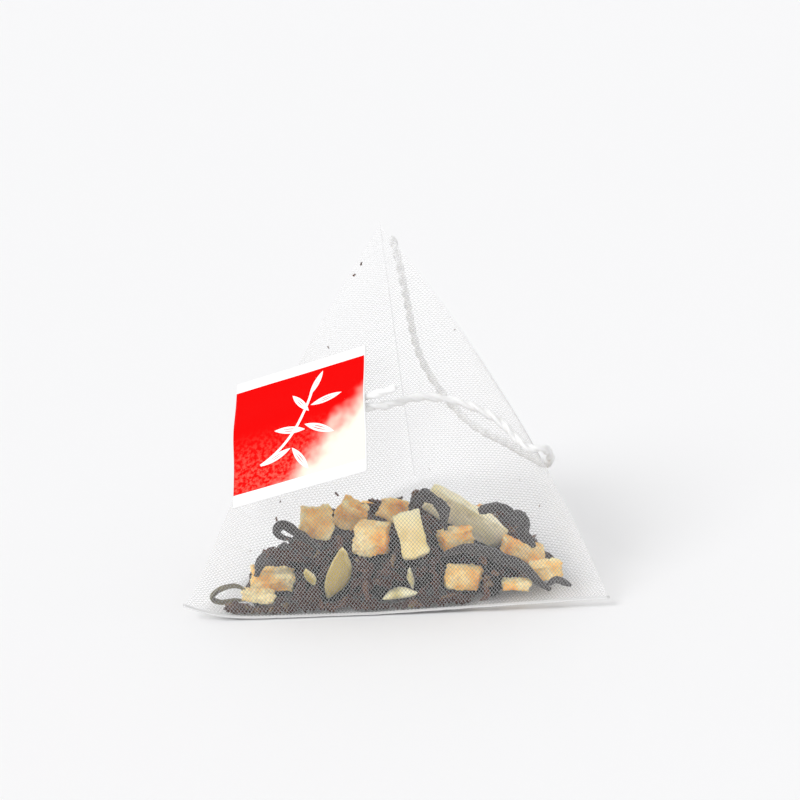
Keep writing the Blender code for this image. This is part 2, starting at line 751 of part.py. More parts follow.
def string_line():
    """The string's route, from the weld at the apex down the back, round the right fold and under the tag."""
    off = STRING_DIAMETER / 2 + STRING_OFF
    behind, before = outward("right", "back", "apex"), outward("left", "right", "apex")
    points = [mixed(right=right, back=back) + behind * (off + lift) for right, back, lift in BACK_RUN]
    points.append(mixed(right=FOLD_RUN[0]) + outward("right", "apex") * (off + FOLD_RUN[1]))
    points += [mixed(left=left, right=right) + before * (off + lift) for left, right, lift in FRONT_RUN]
    under = STRING_DIAMETER / 2 + CLEARANCE + TAG_CARD / 2
    points += [tag_frame() @ Vector((x, y, tag_rise(y) - under)) for x, y in TAG_RUN]
    return smooth_line(points, STRING_STEPS)


def build_string(parts):
    string = build_rod("string", string_line(), STRING_DIAMETER / 2, parts)
    string.data.materials.append(material("cotton", (0.9, 0.88, 0.82), 0.9))
    return string


clear_scene()
tea_bag = new_collection("pyramid_tea_bag")
cutters = new_collection("cutters", helper=True)
build_bag(tea_bag, cutters)
build_tea(tea_bag, cutters)
build_tag(tea_bag)
build_string(tea_bag)
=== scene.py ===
import itertools
import math

import bmesh
import bpy
import numpy as np
from mathutils import Euler, Matrix, Vector
from mathutils.geometry import convex_hull_2d


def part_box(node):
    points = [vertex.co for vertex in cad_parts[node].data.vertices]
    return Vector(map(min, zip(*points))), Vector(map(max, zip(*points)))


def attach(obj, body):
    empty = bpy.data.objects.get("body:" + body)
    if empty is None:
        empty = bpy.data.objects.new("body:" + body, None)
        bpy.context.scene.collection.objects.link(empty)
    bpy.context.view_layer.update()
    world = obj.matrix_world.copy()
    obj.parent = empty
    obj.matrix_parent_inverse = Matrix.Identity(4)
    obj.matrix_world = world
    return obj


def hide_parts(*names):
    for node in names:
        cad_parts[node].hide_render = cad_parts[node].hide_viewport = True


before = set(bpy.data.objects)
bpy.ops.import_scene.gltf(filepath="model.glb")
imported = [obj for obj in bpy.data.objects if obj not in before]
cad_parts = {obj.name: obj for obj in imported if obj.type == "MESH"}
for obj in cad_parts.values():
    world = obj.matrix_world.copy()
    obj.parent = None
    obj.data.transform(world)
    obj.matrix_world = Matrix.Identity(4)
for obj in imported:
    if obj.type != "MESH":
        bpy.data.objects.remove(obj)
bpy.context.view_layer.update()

# Camera: where it looks, how it is turned in degrees, how far off it stands, its lens and film in
# millimetres, and how many pixels its view has each way
LOOK_AT = (0.00153, 0.0, 0.02517)
ELEVATION = 17.04
YAW = -0.99
ROLL = 1.59
DISTANCE = 0.3
LENS = 94.83
FILM = 36
VIEW = 800

# The pouch, as the part has it
SEAL_LENGTH = 0.0585
SEAL_SPACING = 0.0550
APEX_LEAN = -0.0005
BACK_SWING = 0.0042
LIFTS = ((0, 0.0022, 0.80, 2.6), (1, 0.0012, 0.45, 1.0), (3, 0.0010, 0.60, 1.0))
SEAL_WIDTH = 0.00052
SEAL_THICKNESS = 0.00024
SEAL_RISE = 0.0002
SEAL_INSIDE = 0.0002
SEAL_UNEVEN = 0.00006
BAR_SIDES = 20
LEFT, RIGHT, APEX, BACK = range(4)

# The woven cloth: how many threads go round the tube, how thick they are and how they slant, how many steps
# each has, and, in thread widths, how far they wander, lie inside the pouch's face and lie over each other
THREADS = 240
THREAD_WIDTH = 0.000100
THREAD_SLANT = math.radians(49.5)
THREAD_STEPS = 60
THREAD_WANDER = 0.12
THREAD_SINK = 0.8
THREAD_CROSS = 0.3

# The cotton string, as the part has its route
STRING_DIAMETER = 0.0010
STRING_OFF = 0.00035
CARD = 0.00025
CLEARANCE = 0.0003
BACK_RUN = (
    (0.020, 0.030, 0.0), (0.030, 0.100, 0.0), (0.035, 0.190, 0.0), (0.038, 0.280, 0.0),
    (0.042, 0.370, 0.0), (0.060, 0.450, 0.0), (0.110, 0.505, 0.0), (0.190, 0.510, 0.0),
    (0.280, 0.455, 0.0), (0.370, 0.370, 0.0), (0.450, 0.293, 0.0), (0.522, 0.217, 0.0),
    (0.583, 0.146, 0.0), (0.621, 0.086, 0.0002), (0.638, 0.036, 0.0005),
)
FOLD_RUN = (0.637, 0.0003)
FRONT_RUN = (
    (0.014, 0.609, 0.0004), (0.028, 0.571, 0.0001), (0.035, 0.537, 0.0), (0.045, 0.500, 0.0),
    (0.067, 0.450, 0.0), (0.098, 0.398, 0.0), (0.124, 0.362, 0.0002), (0.152, 0.328, 0.0007),
    (0.182, 0.299, 0.0015), (0.214, 0.275, 0.0026), (0.244, 0.253, 0.0037),
)
TAG_RUN = (
    (0.0090, 0.0003), (0.0060, -0.0003), (0.0030, -0.0008), (0.0002, -0.0012), (-0.0022, -0.0009),
    (-0.0036, 0.0006), (-0.0034, 0.0025), (-0.0018, 0.0038), (0.0008, 0.0040), (0.0040, 0.0032),
    (0.0075, 0.0023), (0.0110, 0.0019), (0.0145, 0.0020),
)

# The tag, as the part has it
TAG_SIZE = 0.0203
TAG_FOLD = 0.5
TAG_SHIFT = (0.0055, -0.0049, 0.0020)
TAG_TURN = (41.6, -19.5, -17.9)
TAG_CREASE = 0.0005
TAG_CREASE_AT = 0.0016
TAG_CREASE_REACH = 0.0040

# The long leaves: points with their share across, share up and depth as a share of the seals' spacing, and
# how many leaf radii thick each is
LEAF_RADIUS = 0.0010
LEAVES = (
    (((-0.535, 0.039, 0), (-0.442, 0.031, 0), (-0.361, 0.033, 0)), 0.7),
    (((-0.21, 0.027, 0), (-0.144, 0.038, 0), (-0.093, 0.025, 0)), 0.7),
    (((0.144, 0.026, 0), (0.192, 0.043, 0), (0.238, 0.021, 0)), 0.6),
    (((0.713, 0.033, 0), (0.765, 0.047, 0), (0.827, 0.028, 0)), 0.55),
    (((-0.69, 0.062, 0), (-0.752, 0.089, 0), (-0.82, 0.083, 0), (-0.868, 0.057, 0), (-0.836, 0.036, 0.01),
      (-0.773, 0.036, 0.02), (-0.71, 0.036, 0.02)), 0.5),
    (((0.226, 0.145, 0), (0.335, 0.164, 0), (0.495, 0.137, 0), (0.599, 0.101, 0), (0.674, 0.058, 0),
      (0.731, 0.029, 0)), 0.75),
    (((-0.492, 0.215, 0), (-0.53, 0.219, 0), (-0.553, 0.237, 0), (-0.531, 0.256, 0), (-0.486, 0.245, 0),
      (-0.421, 0.215, 0), (-0.343, 0.177, 0)), 0.65),
    (((-0.659, 0.116, 0), (-0.608, 0.163, 0), (-0.517, 0.184, 0), (-0.42, 0.162, 0)), 1.1),
    (((-0.114, 0.064, 0), (-0.056, 0.099, 0), (0.009, 0.073, 0)), 0.8),
    (((0.1, 0.072, 0), (0.158, 0.118, 0), (0.214, 0.099, 0)), 0.7),
    (((-0.427, 0.119, 0.02), (-0.365, 0.172, 0.02), (-0.298, 0.165, 0.02), (-0.243, 0.121, 0.02)), 0.9),
    (((0.072, 0.286, 0.05), (0.116, 0.318, 0.05), (0.182, 0.313, 0.05), (0.227, 0.271, 0.05),
      (0.244, 0.217, 0.05)), 1.1),
    (((0.409, 0.271, 0.1), (0.494, 0.284, 0.1), (0.588, 0.243, 0.1), (0.668, 0.164, 0.1)), 1.3),
    (((-0.5, 0.1, 0.25), (-0.35, 0.15, 0.29), (-0.18, 0.13, 0.33)), 1.4),
    (((0.1, 0.17, 0.4), (0.24, 0.18, 0.36), (0.38, 0.13, 0.36)), 1.4),
    (((-0.1, 0.04, 0.43), (0.02, 0.06, 0.46), (0.12, 0.04, 0.48)), 1.2),
)
# How pale each piece of fruit is, from orange to cream
PALE = {
    "apple_01": 0.48, "apple_02": 0.28, "apple_03": 0.26, "apple_04": 0.28, "apple_05": 0.10, "apple_06": 0.10,
    "apple_07": 0.02, "apple_08": 0.26, "apple_09": 0.04, "apple_10": 0.06, "apple_11": 0.02, "melon_01": 0.0,
    "melon_02": 0.42, "petal_01": -0.36, "petal_02": 0.22, "petal_03": 0.0, "petal_04": 0.10,
}
# The top of the heap, in pixels of the camera's view
HEAP_EDGE = (
    (216, 640), (222, 602), (238, 598), (248, 578), (252, 560), (262, 549), (290, 543), (306, 528),
    (330, 506), (400, 492), (435, 476), (500, 500), (530, 524), (546, 550), (566, 566), (578, 600),
)
# How far some leaves lie from their solids' middles, in metres, how much paler than the rest they are, and how
# thick they are against their solids
LEAF_SHIFT = {
    "leaf_05": (0.0, -0.0009, -0.0011), "leaf_06": (0.0, 0.0, -0.0010), "leaf_07": (0.0, 0.0, -0.0006),
    "leaf_08": (0.0, 0.0, -0.0012), "leaf_10": (-0.0006, 0.0008, 0.0), "leaf_12": (0.0, 0.0008, -0.0010),
    "leaf_13": (-0.0002, 0.0008, -0.0017),
}
LEAF_TONE = {"leaf_02": 0.2, "leaf_05": 0.42, "leaf_09": 0.25}
LEAF_SWELL = {
    "leaf_05": 0.85, "leaf_06": 1.2, "leaf_07": 1.15, "leaf_08": 0.85, "leaf_12": 0.8, "leaf_13": 0.8,
}
# The crumbs on the wall: their places in pixels of the camera's view, and their sizes
SPECKS = (
    (357.6, 262, 1.0), (349, 272, 1.1), (327, 347, 0.7), (336, 495, 1.2), (372, 500, 0.9), (276, 519, 1.2),
    (287, 540, 0.9), (280, 501, 0.7), (303, 452, 0.6), (455, 330, 0.5), (430, 470, 0.6), (250, 552, 0.6),
    (540, 505, 0.6), (520, 480, 0.5),
)


def unit(vectors):
    vectors = np.asarray(vectors, float)
    return vectors / np.maximum(np.linalg.norm(vectors, axis=-1, keepdims=True), 1e-12)


def view_axes():
    """The camera's right, up and forward directions: turned by the yaw, tipped by the elevation, then rolled."""
    e, y, r = (math.radians(angle) for angle in (ELEVATION, YAW, ROLL))
    forward = np.array([-math.sin(y) * math.cos(e), math.cos(y) * math.cos(e), -math.sin(e)])
    right = np.array([math.cos(y), math.sin(y), 0.0])
    up = np.cross(right, forward)
    return math.cos(r) * right - math.sin(r) * up, math.sin(r) * right + math.cos(r) * up, forward


ACROSS, UPWARD, AHEAD = view_axes()
EYE = np.array(LOOK_AT) - AHEAD * DISTANCE
# What a pixel of the view spans at a distance of 1
PIXEL = FILM / (LENS * VIEW)


def shown(name, data):
    """A new object in the scene."""
    item = bpy.data.objects.new(name, data)
    bpy.context.scene.collection.objects.link(item)
    return item


def make_camera():
    camera = shown("camera", bpy.data.cameras.new("camera"))
    turn = Matrix((ACROSS, UPWARD, -AHEAD)).transposed()
    camera.matrix_world = Matrix.Translation(Vector(EYE)) @ turn.to_4x4()
    camera.data.lens = LENS
    camera.data.clip_start = 0.01
    camera.data.clip_end = 20
    bpy.context.scene.camera = camera


def in_sight(points):
    """Places in the camera's picture, as large as at the distance it looks at, and how far off they are."""
    off = points - EYE
    deep = off @ AHEAD
    return np.stack([off @ ACROSS, off @ UPWARD], -1) / deep[..., None] * DISTANCE, deep


def pouch_corners():
    """The left, right, apex and back corner of the pouch with flat faces, on its base."""
    half = SEAL_LENGTH / 2
    apart = math.sqrt(SEAL_SPACING**2 - half**2)
    slope = math.atan2(half, apart)
    front = -SEAL_SPACING / 3
    middle_y = front + apart * math.cos(slope)
    middle_z = apart * math.sin(slope)
    return np.array([
        (-half, front, 0),
        (half, front, 0),
        (APEX_LEAN, middle_y - half * math.sin(slope), middle_z + half * math.cos(slope)),
        (BACK_SWING, middle_y + half * math.sin(slope), 0),
    ])


CORNER = pouch_corners()
MIDDLE = CORNER.mean(0)


def outward(*corners):
    """The direction from the middle of the pouch to the middle of these corners."""
    return unit(CORNER[list(corners)].mean(0) - MIDDLE)


def level(direction):
    return unit(direction * (1, 1, 0))


BOWS = (
    (LEFT, APEX, 0.0020, outward(LEFT, APEX)),
    (RIGHT, APEX, 0.0030, outward(RIGHT, APEX)),
    (LEFT, BACK, 0.0015, level(outward(LEFT, BACK))),
    (RIGHT, BACK, 0.0015, level(outward(RIGHT, BACK))),
)
BELLIES = (
    (LEFT, RIGHT, APEX, 0.0040, outward(LEFT, RIGHT, APEX)),
    (RIGHT, BACK, APEX, 0.0035, outward(RIGHT, BACK, APEX)),
    (LEFT, BACK, APEX, 0.0035, outward(LEFT, BACK, APEX)),
)


def filled(share):
    """The place on the filled pouch of a mix of its corners.

    It is the mix of the flat corners, plus 4 times each fold's bow times its two shares, plus 27 times each
    face's belly times its three shares, plus each corner's lift, by a power of how far past its start it is.
    """
    place = share @ CORNER
    for first, second, bow, direction in BOWS:
        place = place + (4 * bow * share[..., first] * share[..., second])[..., None] * direction
    for first, second, third, belly, direction in BELLIES:
        swell = 27 * belly * share[..., first] * share[..., second] * share[..., third]
        place = place + swell[..., None] * direction
    for corner, lift, start, power in LIFTS:
        place[..., 2] += lift * np.maximum(0, (share[..., corner] - start) / (1 - start)) ** power
    return place


def mixed(left=0.0, right=0.0, back=0.0):
    share = np.stack(np.broadcast_arrays(left, right, 1.0 - left - right - back, back), -1).astype(float)
    return filled(share)


def on_tube(around, up):
    """Shares of the corners at a place of the unfolded tube.

    around is in seal lengths and up runs from 0 at the front seal to 1 at the back seal. Less half of up, around
    crosses four sides: the front and the base, each 1 - up wide, and the two back faces between them, each up
    wide. A side mixes its two folds by how far along it the place is, and a fold mixes its two corners by up.
    """
    along = np.mod(around - up / 2, 2.0)
    starts = np.stack([0 * up, 1 - up, 1 + 0 * up, 2 - up])
    widths = np.stack([1 - up, up, 1 - up, up])
    side = (along[None] >= starts[1:]).sum(0)
    start = np.take_along_axis(starts, side[None], 0)[0]
    width = np.take_along_axis(widths, side[None], 0)[0]
    part = np.clip((along - start) / np.maximum(width, 1e-9), 0, 1)
    low = np.eye(4)[[LEFT, RIGHT, RIGHT, LEFT]]
    high = np.eye(4)[[APEX, APEX, BACK, BACK]]
    share = 0
    for ring, weight in ((side, 1 - part), ((side + 1) % 4, part)):
        share = share + (weight * (1 - up))[..., None] * low[ring] + (weight * up)[..., None] * high[ring]
    return share


def lattice_noise(points, scale, seed=0):
    """Smooth noise from -1 to 1: random values at the whole numbers of points / scale, mixed by 3t² - 2t³."""
    place = np.asarray(points, float) / scale
    base = np.floor(place)
    t = place - base
    t = t * t * (3 - 2 * t)
    base = base.astype(np.int64)
    total = 0.0
    for corner in itertools.product((0, 1), repeat=3):
        cell = (base + corner).astype(np.uint32)
        mix = cell[..., 0] * np.uint32(73856093) ^ cell[..., 1] * np.uint32(19349663)
        mix = mix ^ cell[..., 2] * np.uint32(83492791) ^ np.uint32(seed * 2654435 + 374761)
        mix = (mix ^ (mix >> np.uint32(13))) * np.uint32(1274126177)
        mix = mix ^ (mix >> np.uint32(16))
        weight = np.prod(np.where(corner, t, 1 - t), axis=-1)
        total = total + weight * ((mix & np.uint32(65535)) / 32767.5 - 1)
    return total


def rough(points, scale, seed=0, octaves=3):
    """Sum of smooth noises, each at half the scale and half the height of the one before."""
    return sum(lattice_noise(points, scale / 2**k, seed + k) / 2**k for k in range(octaves))


def quads_piece(name, points, quads, finish, slot, node=None, caps=(), **more):
    """A mesh piece from arrays of points, of quads and of triangles that close it, put in as whole arrays."""
    points = np.asarray(points, np.float32).reshape(-1, 3)
    quads = np.asarray(quads, np.int32).reshape(-1, 4)
    caps = np.asarray(caps, np.int32).reshape(-1, 3)
    mesh = bpy.data.meshes.new(name)
    mesh.vertices.add(len(points))
    mesh.vertices.foreach_set("co", points.ravel())
    mesh.loops.add(quads.size + caps.size)
    mesh.loops.foreach_set("vertex_index", np.concatenate([quads.ravel(), caps.ravel()]))
    mesh.polygons.add(len(quads) + len(caps))
    starts = np.concatenate([np.arange(len(quads)) * 4, quads.size + np.arange(len(caps)) * 3])
    mesh.polygons.foreach_set("loop_start", starts.astype(np.int32))
    mesh.update(calc_edges=True)
    mesh.validate()
    return dressed(name, mesh, finish, slot, node, **more)


def dressed(name, mesh, finish, slot, node=None, uv=None, smooth=True, **values):
    """Puts a mesh on a new object that rides on the root, with its map, its point values and its finish.

    slot is not used, and node is the CAD node that it stands for.
    """
    if uv is not None:
        layer = mesh.uv_layers.new(name="UVMap")
        corners = np.zeros(len(mesh.loops), np.int32)
        mesh.loops.foreach_get("vertex_index", corners)
        layer.data.foreach_set("uv", np.asarray(uv, np.float32).reshape(-1, 2)[corners].ravel())
    for key, value in values.items():
        attribute = mesh.attributes.new(key, "FLOAT", "POINT")
        attribute.data.foreach_set("value", np.asarray(value, np.float32).ravel())
    mesh.polygons.foreach_set("use_smooth", np.full(len(mesh.polygons), smooth))
    mesh.materials.append(finish)
    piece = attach(shown(name, mesh), "root")
    if node:
        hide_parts(node)
    return piece


def tube_quads(shape):
    """Quads of many closed tubes at once, each of rings of points, and the indices as tube, ring, side."""
    index = np.arange(math.prod(shape)).reshape(shape)
    beside = np.roll(index, -1, axis=2)
    quads = np.stack([index[:, :-1], beside[:, :-1], beside[:, 1:], index[:, 1:]], -1).reshape(-1, 4)
    return quads, index


def tubes_piece(name, points, *dress, **more):
    """A piece of closed tubes, from points by tube, ring and side; a fan of triangles closes each end."""
    quads, index = tube_quads(points.shape[:3])
    first, last = index[:, 0], index[:, -1]
    fans = []
    for i in range(1, index.shape[2] - 1):
        fans.append(np.stack([first[:, 0], first[:, i + 1], first[:, i]], -1))
        fans.append(np.stack([last[:, 0], last[:, i], last[:, i + 1]], -1))
    return quads_piece(name, points, quads, *dress, caps=np.concatenate(fans), **more)


def outwards(piece, *rings):
    """Closes rings of points with one face each, and turns all faces of the piece outwards."""
    bm = bmesh.new()
    bm.from_mesh(piece.data)
    bm.verts.ensure_lookup_table()
    for ring in rings:
        bm.faces.new([bm.verts[i] for i in ring])
    bmesh.ops.recalc_face_normals(bm, faces=bm.faces)
    bm.to_mesh(piece.data)
    bm.free()


def circle(count):
    """Angles at even steps round a circle."""
    return np.linspace(0, 2 * math.pi, count, endpoint=False)


def ringed(line, reach, turn, first, second):
    """A ring round each point of a line: its reach times the angle's cos one way and its sin the other way."""
    shape = np.cos(turn)[..., None] * first[..., None, :] + np.sin(turn)[..., None] * second[..., None, :]
    return line[..., None, :] + np.asarray(reach)[..., None] * shape


def side_frames(line, start=(0.0, 0.0, 1.0)):
    """Two directions across a line at each of its points, carried along it without twist."""
    tangent = unit(np.gradient(line, axis=0))
    side = np.array(start, float)
    across = np.zeros_like(line)
    for i, direction in enumerate(tangent):
        side = unit(side - direction * (side @ direction))
        across[i] = side
    return across, np.cross(tangent, across)


def smooth_line(points, steps):
    """A Catmull-Rom curve through the points, with a number of steps between each two."""
    points = np.asarray(points, float)
    ends = np.concatenate([[2 * points[0] - points[1]], points, [2 * points[-1] - points[-2]]])
    before, start, end, after = (ends[i:len(ends) - 3 + i][:, None] for i in range(4))
    t = (np.arange(steps) / steps)[None, :, None]
    curve = start + (end - before) * (t / 2) + (2 * before - 5 * start + 4 * end - after) * (t * t / 2)
    curve = curve + (3 * start - before - 3 * end + after) * (t**3 / 2)
    return np.concatenate([curve.reshape(-1, 3), points[-1:]])


# Finishes

def finish_of(name, colour, roughness, **constants):
    """A finish, and its nodes and shader inputs, for what varies over a surface.

    Colours, roughness and other numbers stand on the shader's own sockets.
    """
    made = bpy.data.materials.new(name)
    made.use_nodes = True
    into = made.node_tree.nodes["Principled BSDF"].inputs
    into["Base Color"].default_value = (*colour, 1)
    into["Roughness"].default_value = roughness
    for key, value in constants.items():
        into[key.replace("_", " ")].default_value = value
    return made, Nodes(made.node_tree), into


class Nodes:
    """Short ways to add and join nodes in a material or a group."""

    def __init__(self, tree):
        self.tree = tree

    def add(self, kind, inputs=None, **settings):
        node = self.tree.nodes.new("ShaderNode" + kind)
        for key, value in settings.items():
            setattr(node, key, value)
        for key, value in (inputs or {}).items():
            self.put(value, node.inputs[key])
        return node

    def put(self, value, socket):
        if isinstance(value, bpy.types.NodeSocket):
            self.tree.links.new(value, socket)
        else:
            socket.default_value = value

    def math(self, operation, first, second=0.0):
        return self.add("Math", {0: first, 1: second}, operation=operation).outputs[0]

    def times(self, first, second):
        return self.math("MULTIPLY", first, second)

    def plus(self, first, second):
        return self.math("ADD", first, second)

    def minus(self, first, second):
        return self.math("SUBTRACT", first, second)

    def span(self, value, low, high, start=0.0, end=1.0):
        node = self.add("MapRange", {0: value, 1: low, 2: high, 3: start, 4: end}, clamp=True)
        node.interpolation_type = "SMOOTHSTEP"
        return node.outputs[0]

    def noise(self, vector, scale, detail=3.0, roughness=0.55, distortion=0.0):
        inputs = {"Vector": vector, "Scale": scale, "Detail": detail, "Roughness": roughness}
        return self.add("TexNoise", {**inputs, "Distortion": distortion}).outputs[0]

    def ramp(self, value, *stops):
        node = self.add("ValToRGB", {0: value})
        while len(node.color_ramp.elements) < len(stops):
            node.color_ramp.elements.new(0.5)
        for element, (place, colour) in zip(node.color_ramp.elements, stops):
            element.position = place
            element.color = (*colour, 1)
        return node.outputs[0]

    def mix(self, share, first, second):
        node = self.add("Mix", data_type="RGBA")
        for socket, value in ((0, share), (6, first), (7, second)):
            self.put((*value, 1) if isinstance(value, tuple) else value, node.inputs[socket])
        return node.outputs[2]

    def bump(self, height, distance):
        return self.add("Bump", {"Height": height, "Distance": distance}).outputs[0]

    def attribute(self, name):
        return self.add("Attribute", attribute_name=name).outputs["Fac"]

    def group(self, tree, **inputs):
        return self.add("Group", inputs, node_tree=tree).outputs


def group(name, inputs, outputs):
    """A node group with named number inputs and outputs, and its inner ends."""
    tree = bpy.data.node_groups.new(name, "ShaderNodeTree")
    for kind, sockets in (("INPUT", inputs), ("OUTPUT", outputs)):
        for key, socket in sockets.items():
            tree.interface.new_socket(name=key, in_out=kind, socket_type="NodeSocket" + socket)
    nodes = Nodes(tree)
    return nodes, tree.nodes.new("NodeGroupInput").outputs, tree.nodes.new("NodeGroupOutput").inputs


def crumb_group():
    """Blotches, small pits and grain of a dried piece, from its place: broad tone, pits and a height.

    The blotches are about three times as wide as the pits, and the grain is three times as fine.
    """
    outputs = dict.fromkeys(("Tone", "Pits", "Height"), "Float")
    n, given, wanted = group("dried_grain", {"Size": "Float"}, outputs)
    place = n.add("TexCoord").outputs["Object"]
    tone = n.noise(place, n.times(given["Size"], 0.35), 4.0)
    grain = n.noise(place, n.times(given["Size"], 3.0), 4.0, 0.65)
    pits = n.add("TexVoronoi", {"Vector": place, "Scale": given["Size"]}, feature="F1").outputs["Distance"]
    hollow = n.span(pits, 0.1, 0.45)
    n.put(tone, wanted["Tone"])
    n.put(hollow, wanted["Pits"])
    n.put(n.plus(n.times(hollow, 0.6), grain), wanted["Height"])
    return n.tree


def weave_group():
    """A plain weave on the piece's own map: ribs of sines that cross, and a height."""
    n, given, wanted = group("pressed_weave", {"Count": "Float"}, {"Height": "Float", "Tone": "Float"})
    split = n.add("SeparateXYZ", {0: n.add("UVMap").outputs[0]})
    waves = []
    for lean in (n.plus, n.minus):
        waves.append(n.math("SINE", n.times(lean(split.outputs[0], split.outputs[1]), given["Count"])))
    n.put(n.math("MAXIMUM", *waves), wanted["Height"])
    n.put(n.times(*waves), wanted["Tone"])
    return n.tree


CRUMB = crumb_group()
WEAVE = weave_group()


def thread_finish():
    """Clear nylon: a faint cloudiness and a gloss that vary over the cloth."""
    made, n, into = finish_of("nylon_thread", (0.98, 0.98, 0.985), 0.35, Alpha=0.20, Specular_IOR_Level=0.4)
    cloud = n.noise(n.add("TexCoord").outputs["Object"], 260.0)
    n.put(n.ramp(cloud, (0.3, (0.955, 0.955, 0.96)), (0.7, (0.99, 0.99, 0.995))), into["Base Color"])
    n.put(n.span(cloud, 0.3, 0.7, 0.28, 0.42), into["Roughness"])
    return made


def seal_finish(name, alpha):
    """Pressed cloth: the weave shows as a faint tone and a low relief."""
    made, n, into = finish_of(name, (0.94, 0.94, 0.95), 0.45, Alpha=alpha)
    weave = n.group(WEAVE, Count=16.0)
    n.put(n.ramp(weave["Tone"], (0.0, (0.95, 0.95, 0.955)), (1.0, (0.985, 0.985, 0.99))), into["Base Color"])
    n.put(n.bump(weave["Height"], 0.00005), into["Normal"])
    return made


def cotton_finish():
    """Cotton, with painted shade between the plies and painted light on its run down the back, both carried by
    the point value deep. Fibres run along it, so its noise is stretched along the map.
    """
    made, n, into = finish_of(
        "cotton_yarn", (0.9, 0.89, 0.86), 0.95, Sheen_Weight=0.3, Sheen_Roughness=0.6,
        Subsurface_Weight=0.6, Subsurface_Radius=(1.0, 1.0, 0.95), Subsurface_Scale=0.0009)
    stretched = n.add("Mapping", {"Vector": n.add("UVMap").outputs[0], "Scale": (22.0, 1.1, 1.0)}).outputs[0]
    fibre = n.noise(stretched, 1.0, 4.0, 0.7)
    # Painted shade: where deep is low, between the plies, the ramp runs down to its grey; where deep is 1, on the
    # run down the back, the colour is painted light.
    tone = n.plus(n.times(fibre, 0.5), n.times(n.attribute("deep"), 0.5))
    n.put(n.ramp(tone, (0.1, (0.80, 0.79, 0.76)), (0.45, (0.93, 0.925, 0.91)), (0.8, (0.985, 0.985, 0.98))),
          into["Base Color"])
    n.put(n.bump(fibre, 0.00012), into["Normal"])
    return made


def leaf_finish(name, dark, brown, olive, roughness, shine):
    """Dried leaf: a tone of each piece's own, wrinkles along it and a thin sheen."""
    made, n, into = finish_of(name, dark, roughness, Specular_IOR_Level=shine)
    place = n.add("TexCoord").outputs["Object"]
    patch = n.noise(place, 420.0)
    tone = n.plus(n.attribute("tone"), n.times(n.minus(patch, 0.5), 0.7))
    n.put(n.ramp(tone, (0.0, dark), (0.55, dark), (0.75, brown), (1.0, olive)), into["Base Color"])
    wrinkle = n.noise(place, 2600.0, 4.0, 0.6, 1.5)
    n.put(n.span(wrinkle, 0.3, 0.7, roughness - 0.12, roughness + 0.25), into["Roughness"])
    n.put(n.bump(wrinkle, 0.00012), into["Normal"])
    return made


def fruit_finish(name, stops, size, roughness, **constants):
    """A dried piece: blotches over its own tone, and pits with painted shade, darker and a little rougher."""
    made, n, into = finish_of(name, stops[0][1], roughness, **constants)
    grain = n.group(CRUMB, Size=size)
    colour = n.ramp(n.plus(n.span(grain["Tone"], 0.28, 0.72, 0.08, 0.84), n.attribute("tone")), *stops)
    # Painted shade in the pits: their colour goes a quarter of the way to a darker copy of the second stop.
    pitted = n.times(n.minus(1.0, grain["Pits"]), 0.25)
    n.put(n.mix(pitted, colour, tuple(0.55 * value for value in stops[1][1])), into["Base Color"])
    n.put(n.span(grain["Height"], 0.3, 1.3, roughness - 0.1, roughness + 0.15), into["Roughness"])
    n.put(n.bump(grain["Height"], 0.00016), into["Normal"])
    return made


THREAD = thread_finish()
SEAL = seal_finish("pressed_seal", 0.9)
BACK_SEAL = seal_finish("thin_seal", 0.05)
COTTON = cotton_finish()
LEAF = leaf_finish("dark_leaf", (0.048, 0.018, 0.012), (0.125, 0.054, 0.033), (0.21, 0.145, 0.06), 0.6, 0.15)
ROLLED = leaf_finish("long_leaf", (0.016, 0.011, 0.011), (0.05, 0.034, 0.026), (0.17, 0.15, 0.06), 0.45, 0.5)
# The mass's finish is painted shade: far darker than the same fine leaf on the fragments, for the depths of the
# heap between them.
PAINTED_SHADE_CORE = leaf_finish("leaf_core", (0.006, 0.004, 0.003), (0.018, 0.010, 0.006), (0.03, 0.02, 0.01), 0.7, 0.2)
APPLE = fruit_finish(
    "dried_apple",
    ((0.12, (0.86, 0.30, 0.03)), (0.36, (0.96, 0.49, 0.10)), (0.62, (0.98, 0.65, 0.22)),
     (0.92, (0.99, 0.82, 0.44))),
    900.0, 0.6, Subsurface_Weight=0.25, Subsurface_Radius=(1.0, 0.45, 0.2), Subsurface_Scale=0.0008,
)
MELON = fruit_finish(
    "candied_melon",
    ((0.1, (0.74, 0.56, 0.21)), (0.4, (0.87, 0.71, 0.35)), (0.7, (0.94, 0.82, 0.48)), (1.0, (0.99, 0.87, 0.61))),
    700.0, 0.42, Subsurface_Weight=0.6, Subsurface_Radius=(1.0, 0.9, 0.4), Subsurface_Scale=0.0016,
)
PETAL = fruit_finish(
    "dried_petal",
    ((0.1, (0.42, 0.31, 0.07)), (0.45, (0.64, 0.53, 0.20)), (0.8, (0.82, 0.73, 0.38)), (1.0, (0.93, 0.86, 0.58))),
    500.0, 0.55, Subsurface_Weight=0.3, Subsurface_Radius=(1.0, 0.8, 0.3), Subsurface_Scale=0.0005,
)


# The string: its twist, its unevenness and its loose fibres
PLY_OFF = 0.00024
PLY_RADIUS = 0.00038
PLY_TURN = 0.0052
PLY_UNEVEN = 0.07
FIBRE_LENGTH = 0.0012
FIBRE_RISE = 0.00002
END_LENGTH = 0.0008
# How far back the string's painted light has fully come in, on its run down the back
BACK_STARTS = 0.004
STRING_SIDES = 28
STRING_RINGS = 420
ROUTE_STEPS = 12
HAIRS = 520
HAIR_RINGS = 5
HAIR_RADIUS = 0.000022
HAIR_ROOT = 0.0004
HAIR_REACH = (0.0003, 0.0008)


